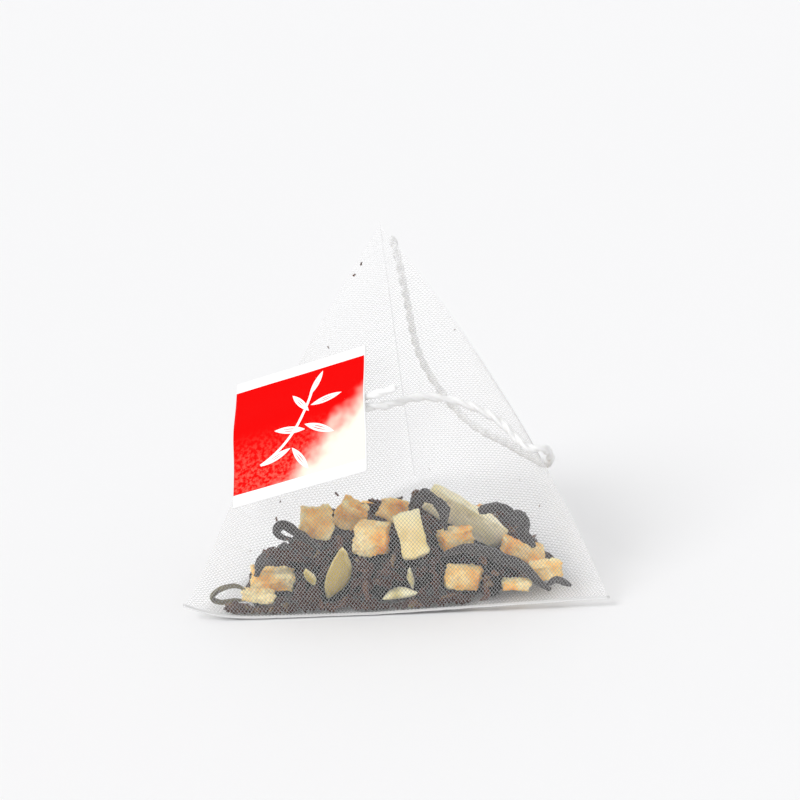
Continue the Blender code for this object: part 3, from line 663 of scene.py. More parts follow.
def tag_frame():
    """Where the tag lies: its middle stands off the left fold, and its z axis points out from the pouch."""
    turn = Euler([math.radians(angle) for angle in TAG_TURN]).to_matrix()
    return mixed(left=1 - TAG_FOLD) + np.array(turn) @ TAG_SHIFT, np.array(turn)


def tag_rise(y):
    """The low ridge that the string under it presses into the card."""
    return TAG_CREASE * np.exp(-(((y - TAG_CREASE_AT) / TAG_CREASE_REACH) ** 2))


def on_tag(x, y, height):
    """Places on the tag, at a height over the middle of its card."""
    middle, turn = tag_frame()
    return middle + np.stack([x, y, tag_rise(y) + height], -1) @ turn.T


def string_route():
    """The route that the part's string takes: down the back, round the right fold and under the tag."""
    off = STRING_DIAMETER / 2 + STRING_OFF
    back, front, tag = (np.array(run) for run in (BACK_RUN, FRONT_RUN, TAG_RUN))
    behind = mixed(right=back[:, 0], back=back[:, 1]) + (off + back[:, 2:]) * outward(RIGHT, BACK, APEX)
    fold = mixed(right=FOLD_RUN[0]) + outward(RIGHT, APEX) * (off + FOLD_RUN[1])
    before = mixed(left=front[:, 0], right=front[:, 1]) + (off + front[:, 2:]) * outward(LEFT, RIGHT, APEX)
    under = on_tag(tag[:, 0], tag[:, 1], -(STRING_DIAMETER / 2 + CLEARANCE + CARD / 2))
    return np.concatenate([behind, fold[None], before, under])


def length_of(line):
    return np.linalg.norm(np.diff(line, axis=0), axis=1).sum()


def evenly(line, count):
    """The same line with points at equal steps along it."""
    steps = np.concatenate([[0], np.cumsum(np.linalg.norm(np.diff(line, axis=0), axis=1))])
    wanted = np.linspace(0, steps[-1], count)
    return np.stack([np.interp(wanted, steps, line[:, k]) for k in range(3)], -1)


def build_string():
    """Two plies twisted round each other.

    The outline at each step is that of two circles side by side: over the angle a from the line through their
    middles, c cos a + sqrt(r² - c² sin² a) for the nearer circle. It turns once for each twist, fine noise along
    the fibres makes it uneven, and it is thin at its ends.
    """
    line = evenly(smooth_line(string_route(), ROUTE_STEPS), STRING_RINGS)
    across, beside = side_frames(line)
    run = np.linspace(0, length_of(line), len(line))[:, None]
    angle = circle(STRING_SIDES)[None, :]
    off = (angle + math.pi / 2) % math.pi - math.pi / 2
    reach = PLY_OFF * np.cos(off) + np.sqrt(np.maximum(PLY_RADIUS**2 - (PLY_OFF * np.sin(off))**2, 1e-12))
    # deep carries painted shade and light for the finish: low where the outline dips between the plies, and 1 on
    # the run down the back, where light is painted in against its shade.
    deep = np.maximum(reach / (PLY_OFF + PLY_RADIUS), np.clip(line[:, 1:2] / BACK_STARTS, 0, 1))
    fibre = np.stack(np.broadcast_arrays(np.cos(angle) * 3, np.sin(angle) * 3, run / FIBRE_LENGTH), -1)
    reach = reach * (1 + PLY_UNEVEN * rough(fibre, 0.8, 3)) + FIBRE_RISE * lattice_noise(fibre * 3, 1.0, 9)
    ends = np.clip(np.minimum(run, run[-1] - run) / END_LENGTH, 0, 1)
    reach = reach * (0.35 + 0.65 * np.sqrt(ends))
    points = ringed(line, reach, angle + 2 * math.pi * run / PLY_TURN, across, beside)
    uv = np.stack(np.broadcast_arrays(angle / (2 * math.pi), run / 0.004), -1)
    return tubes_piece("string_yarn", points[None], COTTON, "cotton", "string", uv=uv, deep=deep), line


def build_fuzz(line, rng):
    """Loose fibres of the string: thin hairs of three sides, each a parabola that leaves the yarn's surface."""
    at = rng.integers(4, len(line) - 4, HAIRS)
    along = unit(line[at + 1] - line[at - 1])
    out = rng.normal(size=(HAIRS, 3))
    out = unit(out - (out * along).sum(1, keepdims=True) * along)
    t = np.linspace(0, 1, HAIR_RINGS)[None, :, None]
    reach = rng.uniform(*HAIR_REACH, (HAIRS, 1, 1))
    bend = rng.normal(size=(HAIRS, 1, 3)) * 0.4 + along[:, None] * rng.choice([-1, 1], (HAIRS, 1, 1))
    centre = line[at][:, None] + out[:, None] * (HAIR_ROOT + reach * t) + bend * reach * t * t * 0.8
    side = unit(np.cross(out, along))[:, None]
    up = unit(np.cross(side, out[:, None]))
    points = ringed(centre, HAIR_RADIUS * (1 - 0.8 * t), circle(3), side, up)
    count = points.size // 3
    # The hairs take deep as 1, so they get none of the painted shade between the plies.
    return tubes_piece("string_fuzz", points, COTTON, "cotton", uv=np.zeros((count, 2)), deep=np.ones(count))


# The pouch

def fold_rows(start, slope, steps):
    """Heights at which each thread is worked out: even steps, with the nearest moved to each fold it crosses."""
    up = np.tile(np.linspace(0, 1, steps + 1), (len(start), 1))
    for lean in (0.5, -0.5):
        for offset in range(-3, 5):
            height = (offset - start) / (slope - lean)
            inside = (height > 0.5 / steps) & (height < 1 - 0.5 / steps)
            row = np.rint(height[inside] * steps).astype(int)
            up[np.nonzero(inside)[0], row] = height[inside]
    return up


def build_threads():
    """The cloth: two families of threads, each straight on the unfolded tube, as closed rods of three flat sides.

    A thread starts at its place along the front seal and moves round by its slope times its height up the tube.
    """
    rng = np.random.default_rng(5)
    rods = []
    for sign in (1, -1):
        slope = sign * SEAL_SPACING / SEAL_LENGTH / math.tan(THREAD_SLANT)
        start = (np.arange(THREADS) + 0.5 * (sign > 0)) * 2 / THREADS
        start = start + rng.normal(size=THREADS) * THREAD_WANDER * 0.25 / THREADS
        up = fold_rows(start, slope, THREAD_STEPS)
        around = start[:, None] + slope * up
        wander = lattice_noise(np.stack([around * 9, up * 9, 0 * up + sign], -1), 1.0, 4 + sign)
        around = around + wander * THREAD_WANDER / THREADS * np.sin(math.pi * up)
        line = filled(on_tube(around, up))
        step = 1e-3
        here = np.clip(up, 0.004, 0.996)
        beside = filled(on_tube(around + step, here)) - filled(on_tube(around - step, here))
        above = filled(on_tube(around, here + step)) - filled(on_tube(around, here - step))
        out = unit(np.cross(beside, above))
        side = unit(np.cross(unit(np.gradient(line, axis=1)), out))
        centre = line - out * THREAD_WIDTH * (THREAD_SINK + THREAD_CROSS * sign)
        rods.append(ringed(centre, THREAD_WIDTH / 2, math.pi / 3 + circle(3), out, side))
    cloth = tubes_piece("mesh_cloth", np.concatenate(rods), THREAD, "mesh_cloth", "mesh_bag", smooth=False)


def carried_bar(name, line, out, thick, low, finish, seed):
    """A pressed seal: a thin bar with rounded edges carried along its line, its cut edge a little uneven.

    The outline is a superellipse of power 4 with the seal's width and thickness, thinner at its cut edge.
    """
    turn = circle(BAR_SIDES)
    wide, tall = (np.sign(wave) * np.abs(wave) ** 0.5 for wave in (np.cos(turn), np.sin(turn)))
    run = np.linspace(0, 1, len(line))[:, None]
    edge = SEAL_UNEVEN * rough(run * (60, 0, 0), 1.0, seed)[:, None]
    reach = (SEAL_WIDTH + edge) * (0.5 + 0.5 * wide) - SEAL_INSIDE * (1 - wide) / 2
    thin = SEAL_THICKNESS / 2 * tall * (0.8 - 0.3 * wide)
    points = line[:, None] + reach[..., None] * out + (low + SEAL_THICKNESS / 2 + thin)[None, :, None] * thick
    quads, index = tube_quads((1, len(line), BAR_SIDES))
    if np.dot(np.cross(out, thick), line[-1] - line[0]) < 0:
        quads = quads[:, ::-1]
    uv = np.stack(np.broadcast_arrays(reach / 0.001, run * SEAL_LENGTH / 0.001), -1)
    outwards(quads_piece(name, points, quads, finish, "mesh_cloth", uv=uv), index[0, 0], index[0, -1])


def build_seals():
    run = np.linspace(0, 1, 121)
    front, up, right = np.array([0.0, -1, 0]), np.array([0.0, 0, 1]), np.array([1.0, 0, 0])
    behind = unit(outward(APEX, BACK) * (0, 1, 1))
    carried_bar("front_seal", mixed(left=1 - run, right=run), front, up, SEAL_RISE, SEAL, 11)
    carried_bar("back_seal", mixed(back=run), behind, right, -SEAL_THICKNESS / 2, BACK_SEAL, 12)


# The print, in millimetres from the card's middle: the field's edges, the sprig's stem as an arc, and its
# leaves with where each joins the stem, its direction in degrees and its length
ARC_INPUTS = ("X", "Y", "R", "Width", "Clip X", "Clip Y", "Clip R")
PRINT_TOP = 8.45
PRINT_FOOT = -8.3
PRINT_RIGHT = 9.95
SPRIG_STEM = (-11.0, 7.5, 13.2, 0.42, -0.6, -1.2, 6.4)
SPRIG_LEAVES = (
    (1.8, 4.6, 62, 3.4), (2.3, 2.6, 8, 4.0), (1.4, 2.0, 128, 3.6), (1.3, -0.4, -28, 4.2), (0.6, -0.9, 168, 4.0),
    (-0.9, -3.6, -58, 4.0), (-1.7, -3.4, 200, 3.8),
)
TAG_STEPS = 56
TAG_WAVE = 0.00006


def arc_group():
    """A printed stroke: 1 within half a width of a circle, inside a second circle; places in millimetres."""
    n, given, wanted = group("printed_arc", dict.fromkeys(ARC_INPUTS, "Float"), {"Mask": "Float"})
    split = n.add("SeparateXYZ", {0: n.add("UVMap").outputs[0]})

    def reach(x, y):
        dx = n.minus(split.outputs[0], x)
        dy = n.minus(split.outputs[1], y)
        return n.math("SQRT", n.plus(n.times(dx, dx), n.times(dy, dy)))

    off = n.math("ABSOLUTE", n.minus(reach(given["X"], given["Y"]), given["R"]))
    stroke = n.math("LESS_THAN", off, n.times(given["Width"], 0.5))
    held = n.math("LESS_THAN", reach(given["Clip X"], given["Clip Y"]), given["Clip R"])
    n.put(n.times(stroke, held), wanted["Mask"])
    return n.tree


ARC = arc_group()


def leaf_arcs(x, y, turn, length, width=0.32):
    """The outline and rib of a pointed leaf: two circles that cross at its tips, and one long flat arc.

    x, y is where it joins its stem, in millimetres, and turn its direction in degrees.
    """
    half, bulge = length / 2, 0.36
    radius = half / bulge
    drop = math.sqrt(radius**2 - half**2)
    angle = math.radians(turn)
    mid = np.array([x, y]) + half * np.array([math.cos(angle), math.sin(angle)])
    side = np.array([-math.sin(angle), math.cos(angle)])
    up, down = mid + side * drop, mid - side * drop
    far = mid + side * length * 6
    return [
        (*up, radius, width, *down, radius + width / 2),
        (*down, radius, width, *up, radius + width / 2),
        (*far, length * 6, width * 0.7, *mid, half * 0.8),
    ]


def printed_arcs():
    """A sprig of plain leaves on a curved stem."""
    arcs = [SPRIG_STEM]
    for leaf in SPRIG_LEAVES:
        arcs += leaf_arcs(*leaf)
    return arcs


def tag_finish():
    """The print: white bands along the top and bottom, between them a red field that fades to cream low at the
    right, and a white sprig on it."""
    made, n, into = finish_of("tag_print", (0.9, 0.9, 0.9), 0.5, Specular_IOR_Level=0.04)
    plane = n.add("UVMap").outputs[0]
    split = n.add("SeparateXYZ", {0: plane})
    x, y = split.outputs[0], split.outputs[1]
    cloud = n.times(n.minus(n.noise(plane, 0.28, 2.0), 0.5), 0.7)
    slant = n.plus(n.plus(n.times(x, 0.088), n.times(y, -0.100)), cloud)
    worn = n.times(n.span(n.noise(plane, 1.7, 4.0, 0.6), 0.42, 0.62), n.times(n.span(y, 1.5, -6.0), 0.5))
    red = n.mix(worn, (0.79, 0.0, 0.0), (0.87, 0.19, 0.14))
    field = n.mix(n.span(slant, 0.38, 1.02), red, (0.98, 0.90, 0.76))
    mask = 0.0
    for arc in printed_arcs():
        mask = n.math("MAXIMUM", mask, n.group(ARC, **dict(zip(ARC_INPUTS, arc)))["Mask"])
    field = n.mix(mask, field, (0.96, 0.95, 0.93))
    edge = n.times(n.math("LESS_THAN", y, PRINT_TOP), n.math("GREATER_THAN", y, PRINT_FOOT))
    edge = n.times(edge, n.math("LESS_THAN", x, PRINT_RIGHT))
    edge = n.times(edge, n.math("GREATER_THAN", n.attribute("front"), 0.5))
    n.put(n.mix(edge, (0.95, 0.95, 0.95), field), into["Base Color"])
    paper = n.noise(plane, 3.2, 5.0, 0.7)
    n.put(n.span(paper, 0.3, 0.7, 0.42, 0.6), into["Roughness"])
    n.put(n.bump(paper, 0.00002), into["Normal"])
    return made


def build_tag():
    """The card: a square grid that follows the ridge over the string, with its edges rolled over a hair."""
    run = np.linspace(-1, 1, TAG_STEPS + 1)
    x, y = (grid * TAG_SIZE / 2 for grid in np.meshgrid(run, run, indexing="ij"))
    wave = TAG_WAVE * rough(np.stack([x, y, 0 * x], -1), 0.009, 21, 2)
    rim = np.maximum(np.abs(x), np.abs(y)) > TAG_SIZE / 2 * 0.999
    layers, fronts = [], []
    for side in (1, -1):
        layers.append(on_tag(x, y, wave + side * CARD / 2 * np.where(rim, 0.8, 1.0)))
        fronts.append(np.full(x.shape, float(side > 0)))
    index = np.arange(2 * x.size).reshape(2, *x.shape)
    cells = index[:, :-1, :-1], index[:, 1:, :-1], index[:, 1:, 1:], index[:, :-1, 1:]
    faces = []
    for layer, order in ((0, (0, 1, 2, 3)), (1, (0, 3, 2, 1))):
        faces.append(np.stack([cells[k][layer] for k in order], -1))
    for edge in (index[:, 0, :], index[:, :, -1], index[:, -1, ::-1], index[:, ::-1, 0]):
        faces.append(np.stack([edge[0, :-1], edge[0, 1:], edge[1, 1:], edge[1, :-1]], -1))
    quads = np.concatenate([part.reshape(-1, 4) for part in faces])
    uv = np.stack([x, y], -1)[None].repeat(2, 0) * 1000
    tag = quads_piece("tag_card", np.stack(layers), quads, tag_finish(), "tag_paper", "tag", uv=uv,
                      front=np.stack(fronts))
    outwards(tag)
    return tag


# The dried pieces: how much of the cutting rounds them, how deep and wide they are sunk, how deep their pits are,
# how much painted shade and light follow their sinking, their finish and its slot
DRIED = {
    "apple": (2, 0.00054, 0.0019, 0.00018, 0.16, APPLE, "dried_apple"),
    "melon": (2, 0.00048, 0.0024, 0.00008, 0.10, MELON, "candied_melon"),
    "petal": (1, 0.00014, 0.0014, 0.00006, 0.35, PETAL, "petal"),
}
FULL_DEPTH_AT = 0.0045
PETAL_CUP = 0.00035
# The rolled leaves: how fine they are, the lengths of their crumples and turns, and their room to the walls
LEAF_RINGS = 64
LEAF_SIDES = 24
LEAF_CRUMPLE = 0.0016
LEAF_TURN = 0.006
LEAF_ROOM = 0.0004
# The mass of fine leaf: how coarse it is, how its surface crumbles, and where and how far it falls, is drawn in,
# is sunk and lies behind the fruit
CORE_VOXEL = 0.0007
CORE_CRUMB = 0.00035
CORE_SHRINK = 0.0005
CORE_LOW = 0.34
CORE_FALL = (0.009, 0.006)
CORE_LEFT = 0.015
CORE_DRAW = 0.36
CORE_SINK = 0.0006
CORE_BEHIND = 0.0006
# The fragments: how many there are on the mass, in the fold along the seam, in a clump at its left and about each
# of some leaves, and how high they lie
FRAGMENTS = 2300
DUST = 300
CLUMP = 60
LITTER = 55
LITTERED = ("leaf_08", "leaf_12", "leaf_13")
FRAGMENT_RISE = (-0.0002, 0.0006)
DUST_RISE = (0.0004, 0.0016)
FLAKE_RINGS = 8
FLAKE_SIDES = 6
# Kinds of fragments: how common each is, and its least and most length, width and flatness
FLAKE_KINDS = (
    (0.40, (0.0024, 0.0007, 0.5), (0.0066, 0.0015, 0.9)),
    (0.32, (0.0008, 0.0005, 0.5), (0.0020, 0.0010, 0.9)),
    (0.20, (0.0015, 0.0010, 0.15), (0.0036, 0.0020, 0.30)),
    (0.08, (0.0055, 0.0015, 0.5), (0.0095, 0.0024, 0.8)),
)


def read(mesh, key):
    """The places of a mesh's points, or their normals."""
    flat = np.zeros(len(mesh.vertices) * 3)
    mesh.vertices.foreach_get(key, flat)
    return flat.reshape(-1, 3)


def remade(node, *changes):
    """A CAD node's mesh copied, its doubles joined and modifiers applied; and its points and normals."""
    bm = bmesh.new()
    bm.from_mesh(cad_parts[node].data)
    bmesh.ops.remove_doubles(bm, verts=bm.verts, dist=1e-6)
    mesh = bpy.data.meshes.new(node + "_copy")
    bm.to_mesh(mesh)
    bm.free()
    item = shown(node + "_copy", mesh)
    for kind, settings in changes:
        modifier = item.modifiers.new(kind, kind)
        for key, value in settings.items():
            setattr(modifier, key, value)
    bpy.context.view_layer.update()
    made = bpy.data.meshes.new_from_object(item.evaluated_get(bpy.context.evaluated_depsgraph_get()))
    bpy.data.objects.remove(item)
    return made, read(made, "co"), read(made, "normal")


def finer(kind, levels):
    return "SUBSURF", {"subdivision_type": kind, "levels": levels, "render_levels": levels}


def reshaped(name, mesh, points, *dress, **values):
    """A piece from a mesh whose points have moved."""
    mesh.vertices.foreach_set("co", points.astype(np.float32).ravel())
    mesh.materials.clear()
    return dressed(name, mesh, *dress, **values)


def petal_shape(points, number):
    """A petal from an oval piece, and how near its rim each point lies.

    In shares u and v of its half length and half width, the width is times 1 - 0.5 u², so that its ends are
    narrow. It sways by 0.22 sin(2.4 u) of its half width, and its rim stands up by v² times PETAL_CUP.
    """
    middle = points.mean(0)
    axes = np.linalg.svd(points - middle, full_matrices=False)[2]
    axes = axes * np.sign(axes.sum(1, keepdims=True))
    off = (points - middle) @ axes.T
    half = np.ptp(off, axis=0) / 2
    u, v = off[:, 0] / half[0], off[:, 1] / half[1]
    off[:, 1] = half[1] * (v * (1 - 0.5 * u**2) + 0.22 * np.sin(2.4 * u + number))
    off[:, 2] += PETAL_CUP * (v**2 - 0.4)
    return middle + off @ axes, u**2 + v**2


def dried_piece(node, number, kind):
    """A diced or curled piece on its CAD solid: the solid's surface, cut finer, sunk and pitted by noise."""
    rounding, deep, wide, fine, sink_shade_and_light, finish, slot = DRIED[kind]
    made, points, normals = remade(node, finer("SIMPLE", 2), finer("CATMULL_CLARK", rounding))
    thin = np.subtract(*reversed([np.array(corner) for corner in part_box(node)])).min()
    sink = deep * min(1.0, thin / FULL_DEPTH_AT) * (rough(points, wide, number, 2) - 0.3)
    grain = fine * rough(points, wide / 5, number + 40, 2)
    points = points + normals * (np.minimum(sink, 0.0001) + grain)[:, None]
    # The tone follows the noise that sinks the surface: painted shade where the piece is sunk and painted light
    # where it is not, over its own paleness.
    tone = PALE.get(node, 0.0) + sink_shade_and_light * rough(points, wide, number, 2)
    if kind == "petal":
        points, rim = petal_shape(points, number)
        # Painted shade in the petal's middle, low in its cup, and painted light towards its rim.
        tone = tone + 0.65 * rim - 0.30
    reshaped(node + "_dried", made, points, finish, slot, node, tone=tone)


def spot(points):
    """Places in the heap: shares of the half seal and of the apex height, and a depth behind the seal."""
    across, height, depth = np.asarray(points, float).T
    behind = CORNER[LEFT, 1] + depth * SEAL_SPACING
    return np.stack([across * SEAL_LENGTH / 2, behind, height * CORNER[APEX, 2]], -1)


def wall_depths(points):
    """How far places lie inside each wall of the filled pouch, and the walls' inward directions.

    The share of the corner opposite a wall times the pouch's height over that wall, plus the belly and the bows
    of the wall at the other three shares.
    """
    basis = np.concatenate([CORNER.T, np.ones((1, 4))])
    share = np.concatenate([points, np.ones(points.shape[:-1] + (1,))], -1) @ np.linalg.inv(basis).T
    depths, inwards = [], []
    for missing in range(4):
        corners = [corner for corner in range(4) if corner != missing]
        flat = CORNER[corners]
        inward = unit(np.cross(flat[1] - flat[0], flat[2] - flat[0]))
        inward = inward * np.sign(inward @ (CORNER[missing] - flat[0]))
        height = inward @ (CORNER[missing] - flat[0])
        rest = np.clip(share[..., corners], 0, 1)
        rest = rest / np.maximum(rest.sum(-1, keepdims=True), 1e-9)
        full = np.zeros(share.shape)
        full[..., corners] = rest
        swell = (rest @ flat - filled(full)) @ inward
        depths.append(share[..., missing] * height + swell)
        inwards.append(inward)
    return np.stack(depths), np.array(inwards)


def pushed_in(points, room):
    """Moves each fragment or ring of a leaf inwards until all its points are room away from the walls."""
    for _ in range(4):
        depths, inwards = wall_depths(points)
        short = np.maximum(0, room - depths.min(axis=(2, 3)))
        points = points + (short.T @ inwards)[:, None, None]
    return points


def rolled_leaf(node, number, points, radius):
    """A long leaf rolled up in drying, on the line of its CAD solid.

    Its outline is a circle with a lip, 1 + 0.16 cos(a - w) + 0.10 cos 3a + 0.07 cos 7a, whose angle w turns along
    the leaf, made uneven by noise. It is thick in the middle and thin at its ends.
    """
    line = evenly(smooth_line(spot(points), ROUTE_STEPS), LEAF_RINGS)
    low, high = (np.array(corner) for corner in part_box(node))
    line = line + (low + high) / 2 - (line.min(0) + line.max(0)) / 2 + LEAF_SHIFT.get(node, 0.0)
    across, beside = side_frames(line, (0.1, 0.2, 1.0))
    length = length_of(line)
    t = np.linspace(0, 1, len(line))[:, None]
    angle = circle(LEAF_SIDES)[None, :]
    place = np.stack(np.broadcast_arrays(np.cos(angle), np.sin(angle), t * length / LEAF_CRUMPLE), -1)
    crumple = 0.16 + 0.36 * (radius > LEAF_RADIUS)
    radius = radius * LEAF_SWELL.get(node, 1.0)
    lip = 0.16 * np.cos(angle - length / LEAF_TURN * 2 * math.pi * t)
    lip = lip + 0.10 * np.cos(3 * angle + 9 * t + number)
    lip = lip + 0.07 * np.cos(7 * angle - 14 * t + 2 * number)
    reach = radius * (0.25 + 0.75 * np.sin(math.pi * np.clip(t, 0.02, 0.98)) ** 0.6)
    reach = reach * (0.86 + lip + crumple * rough(place, 0.9, number))
    points = pushed_in(ringed(line, reach, angle, across, beside)[:, None], LEAF_ROOM)[:, 0]
    tone = 0.35 + 0.3 * rough(line / 0.004, 1.0, number)[:, None] + 0.25 * np.maximum(lip, 0)
    tone = tone + LEAF_TONE.get(node, 0.0)
    tubes_piece(node + "_rolled", points[None], ROLLED, "rolled_leaf", node, tone=tone)


def beyond_heap(points):
    """Which places the camera would see above the heap's outline."""
    flat = in_sight(points)[0] / (PIXEL * DISTANCE)
    edge = np.array(HEAP_EDGE)
    return VIEW / 2 - flat[..., 1] < np.interp(VIEW / 2 + flat[..., 0], edge[:, 0], edge[:, 1])


def behind_fruit(points, margin):
    """How far places would have to move back to lie behind the pieces of fruit and the petals that show.

    A place has to when it is nearer than the far side of a piece and inside the flat outline of the piece as
    seen from the front: on the inner side of every edge of its convex outline, moved out by the margin.
    """
    flat, deep = in_sight(points)
    move = np.zeros(points.shape[:-1])
    for name in PALE:
        outline, away = in_sight(read(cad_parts[name].data, "co"))
        rim = outline[convex_hull_2d([tuple(place) for place in outline])]
        edges = np.roll(rim, -1, axis=0) - rim
        outs = unit(np.stack([edges[:, 1], -edges[:, 0]], -1))
        outs = outs * np.sign(((rim - rim.mean(0)) * outs).sum(1, keepdims=True))
        reach = ((flat[..., None, :] - rim) * outs).sum(-1).max(-1)
        move = np.maximum(move, np.where(reach < margin, away.max() + margin - deep, 0.0))
    return move


def build_core():
    """The mass of fine leaf: its CAD solid, remeshed and made crumbly by noise.

    It is lowered and drawn in at its left, sunk at its foot, moved back behind the fruit and kept off the walls.
    Its finish is painted shade, far darker than the fine leaf of the fragments.
    """
    made, points, normals = remade("leaf_bed", ("REMESH", {"mode": "VOXEL", "voxel_size": CORE_VOXEL}))
    points = points + normals * (CORE_CRUMB * rough(points, 0.0016, 61) - CORE_SHRINK)[:, None]
    points[:, 2] *= 1 - CORE_LOW * np.clip((-CORE_FALL[0] - points[:, 0]) / CORE_FALL[1], 0, 1)
    points[:, 0] += np.maximum(0, -CORE_LEFT - points[:, 0]) * CORE_DRAW
    points[:, 2] -= CORE_SINK * np.clip(1.4 - points[:, 2] / 0.003, 0, 1)
    points = points + behind_fruit(points, CORE_BEHIND)[:, None] * AHEAD
    points = pushed_in(points[:, None, None], LEAF_ROOM)[:, 0, 0]
    tone = 0.4 + 0.3 * rough(points, 0.003, 62)
    reshaped("leaf_core", made, points, PAINTED_SHADE_CORE, "fine_leaf", "leaf_bed", tone=tone)
    return points, normals


def flakes(rng, centre, normal, length, width, flat, curl):
    """Many small leaf fragments at once.

    Each is a rod along an arc, thin at its ends, whose outline is an ellipse flattened by its own share and
    turned by its own twist along it.
    """
    count = len(centre)
    run = rng.normal(size=(count, 3))
    run = unit(run - (run * normal).sum(1, keepdims=True) * normal * rng.uniform(0.3, 1.1, (count, 1)))
    up = unit(np.cross(run, np.cross(normal, run) + rng.normal(size=(count, 3)) * 0.35))
    up = unit(up - (up * run).sum(1, keepdims=True) * run)
    side = np.cross(run, up)
    t = np.linspace(-1, 1, FLAKE_RINGS)
    bend = curl[:, None] * (1 - t**2)[None]
    sway = rng.uniform(-0.5, 0.5, (count, 1)) * np.sin(math.pi * t)[None]
    line = centre[:, None] + length[:, None, None] / 2 * (
        run[:, None] * t[None, :, None] + up[:, None] * bend[..., None] + side[:, None] * sway[..., None])
    thick = width[:, None] / 2 * (0.22 + 0.78 * np.sqrt(np.maximum(1 - t**2, 0)))[None]
    thick = thick * (1 + 0.25 * rng.uniform(-1, 1, (count, FLAKE_RINGS)))
    twist = rng.uniform(0, 6.28, (count, 1)) + rng.normal(size=(count, 1)) * 1.5 * t[None]
    angle = circle(FLAKE_SIDES)
    wide = np.cos(angle) * (1 + 0.2 * rng.uniform(-1, 1, (count, FLAKE_RINGS, FLAKE_SIDES)))
    tall = np.sin(angle) * flat[:, None, None]
    turn = twist[..., None]
    first = wide * np.cos(turn) - tall * np.sin(turn)
    second = wide * np.sin(turn) + tall * np.cos(turn)
    return line[:, :, None] + thick[..., None, None] * (
        first[..., None] * side[:, None, None] + second[..., None] * up[:, None, None])


def build_fragments(core_points, core_normals):
    """The broken leaf that shows: fragments half sunk in the surface of the mass, none in or before the fruit.

    Small ones have also run down into the fold along the front seam, and some hang about three of the leaves.
    """
    rng = np.random.default_rng(77)
    chosen = rng.choice(np.nonzero(core_normals[:, 2] > -0.35)[0], FRAGMENTS)
    centre = core_points[chosen] + core_normals[chosen] * rng.uniform(*FRAGMENT_RISE, (FRAGMENTS, 1))
    clear = behind_fruit(centre, 0.0002) == 0
    centre, normal = centre[clear], core_normals[chosen][clear]
    along, inside = rng.uniform(0.33, 0.88, DUST), rng.uniform(0.0, 0.05, DUST)
    along[:CLUMP] = rng.normal(0.884, 0.009, CLUMP)
    dust = mixed(left=along * (1 - inside), right=(1 - along) * (1 - inside), back=inside)
    dust[:, 2] += rng.uniform(*DUST_RISE, DUST)
    boxes = [np.array(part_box(name)) + LEAF_SHIFT[name] for name in LITTERED]
    litter = np.concatenate([rng.uniform(low, high, (LITTER, 3)) for low, high in boxes])
    centre = np.concatenate([centre, litter, dust])
    normal = np.concatenate([normal, np.tile((0.0, 0.0, 1.0), (len(litter) + DUST, 1))])
    share, least, most = (np.array(column) for column in zip(*FLAKE_KINDS))
    kind = rng.choice(len(share), len(centre), p=share)
    kind[-DUST:] = 1
    length, width, flat = (least[kind] + (most - least)[kind] * rng.beta(1.3, 2.0, (len(kind), 3))).T
    width = np.minimum(width, length * 0.7)
    curl = rng.uniform(-0.25, 0.55, len(kind))
    points = pushed_in(flakes(rng, centre, normal, length, width, flat, curl), 0.00035)
    hiding = (behind_fruit(points, 0.0001) > 0).any(axis=(1, 2))
    points = points[~hiding & ~beyond_heap(points).any(axis=(1, 2))]
    tone = np.repeat(rng.beta(1.5, 2.0, len(points)), FLAKE_RINGS * FLAKE_SIDES)
    tubes_piece("leaf_fragments", points, LEAF, "fine_leaf", tone=tone)


def front_place(px, py):
    """The place on the front wall nearest to the camera's line through a pixel of its view."""
    ray = unit(AHEAD + (ACROSS * (px - VIEW / 2) - UPWARD * (py - VIEW / 2)) * PIXEL)
    grid = np.linspace(0, 1, 241)
    left, apex = np.meshgrid(grid, grid, indexing="ij")
    keep = left + apex <= 1
    left, apex = left[keep], apex[keep]
    places = mixed(left=left, right=1 - left - apex)
    off = places - EYE
    return places[np.linalg.norm(off - (off @ ray)[:, None] * ray, axis=1).argmin()]


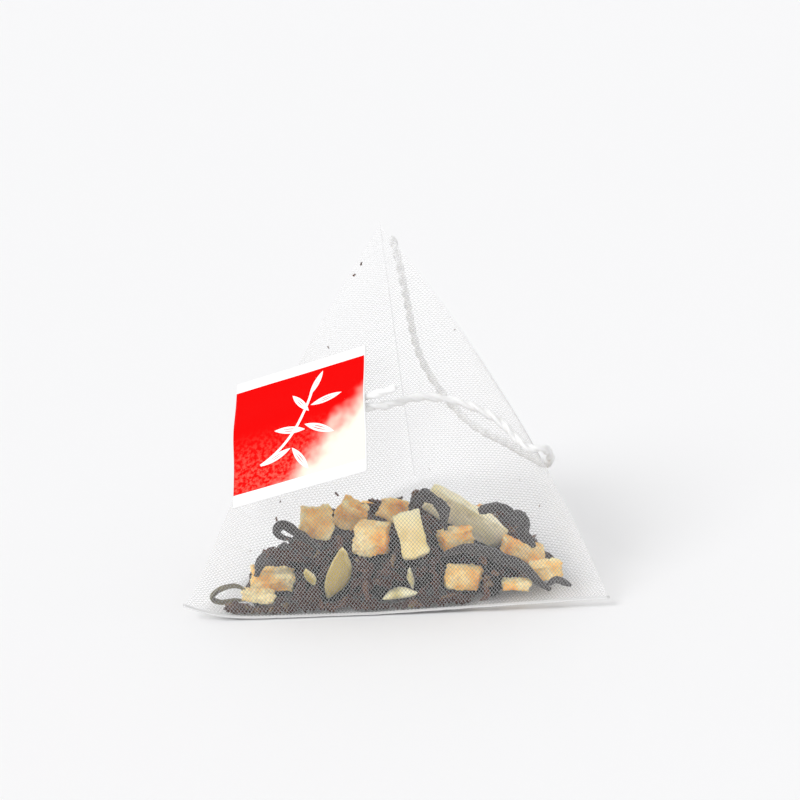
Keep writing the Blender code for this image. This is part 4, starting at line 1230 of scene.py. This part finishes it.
def build_specks():
    """Crumbs of leaf that cling to the inside of the front wall."""
    rng = np.random.default_rng(9)
    sizes = np.array([size for *_, size in SPECKS])
    out = outward(LEFT, RIGHT, APEX)
    centre = np.array([front_place(px, py) for px, py, _ in SPECKS]) - out * 0.0005
    normal = np.tile(out, (len(centre), 1))
    points = flakes(rng, centre, normal, 0.0006 * sizes, 0.00032 * sizes, 0 * sizes + 0.6, 0 * sizes + 0.2)
    tone = np.full(points.size // 3, 0.7)
    tubes_piece("leaf_specks", pushed_in(points, 0.0003), LEAF, "fine_leaf", tone=tone)


def build_tea():
    for name in sorted(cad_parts):
        kind, _, number = name.partition("_")
        if kind in DRIED:
            dried_piece(name, int(number), kind)
    for number, (points, thick) in enumerate(LEAVES, 1):
        rolled_leaf(f"leaf_{number:02d}", number, points, thick * LEAF_RADIUS)
    build_fragments(*build_core())
    build_specks()


# The studio

SURROUND = 0.74
SUN_STRENGTH = 1.55
SUN_WIDTH = 28
SUN_FROM = (-0.60, -0.50, 0.62)


def build_studio():
    """A wide pale floor, a white surround that shows to the camera and in reflections, and one soft sun."""
    rim = circle(96)
    points = np.stack([3 * np.cos(rim), 3 * np.sin(rim), 0 * rim - 0.00001], -1)
    mesh = bpy.data.meshes.new("floor")
    mesh.from_pydata(points.tolist(), [], [list(range(len(rim)))])
    mesh.materials.append(finish_of("pale_floor", (0.903, 0.903, 0.911), 0.6, Specular_IOR_Level=0.2)[0])
    shown("floor", mesh)
    world = bpy.data.worlds.new("surround")
    bpy.context.scene.world = world
    world.use_nodes = True
    n = Nodes(world.node_tree)
    shade = world.node_tree.nodes["Background"].inputs
    path = n.add("LightPath").outputs
    seen = n.math("MAXIMUM", path["Is Camera Ray"], path["Is Glossy Ray"])
    seen = n.math("MAXIMUM", seen, path["Is Transmission Ray"])
    n.put(n.mix(seen, (1.0, 1.0, 1.0), (0.95, 0.95, 0.96)), shade["Color"])
    n.put(n.span(seen, 0.0, 1.0, SURROUND, 1.0), shade["Strength"])
    lamp = bpy.data.lights.new("soft_lamp", "SUN")
    lamp.energy = SUN_STRENGTH
    lamp.angle = math.radians(SUN_WIDTH)
    holder = shown("soft_lamp", lamp)
    holder.rotation_mode = "QUATERNION"
    holder.rotation_quaternion = Vector(SUN_FROM).to_track_quat("Z", "Y")


make_camera()
string, string_path = build_string()
fuzz = build_fuzz(string_path, np.random.default_rng(31))
tag = build_tag()
build_threads()
build_seals()
build_tea()
build_studio()
bpy.context.scene.view_settings.view_transform = "Standard"
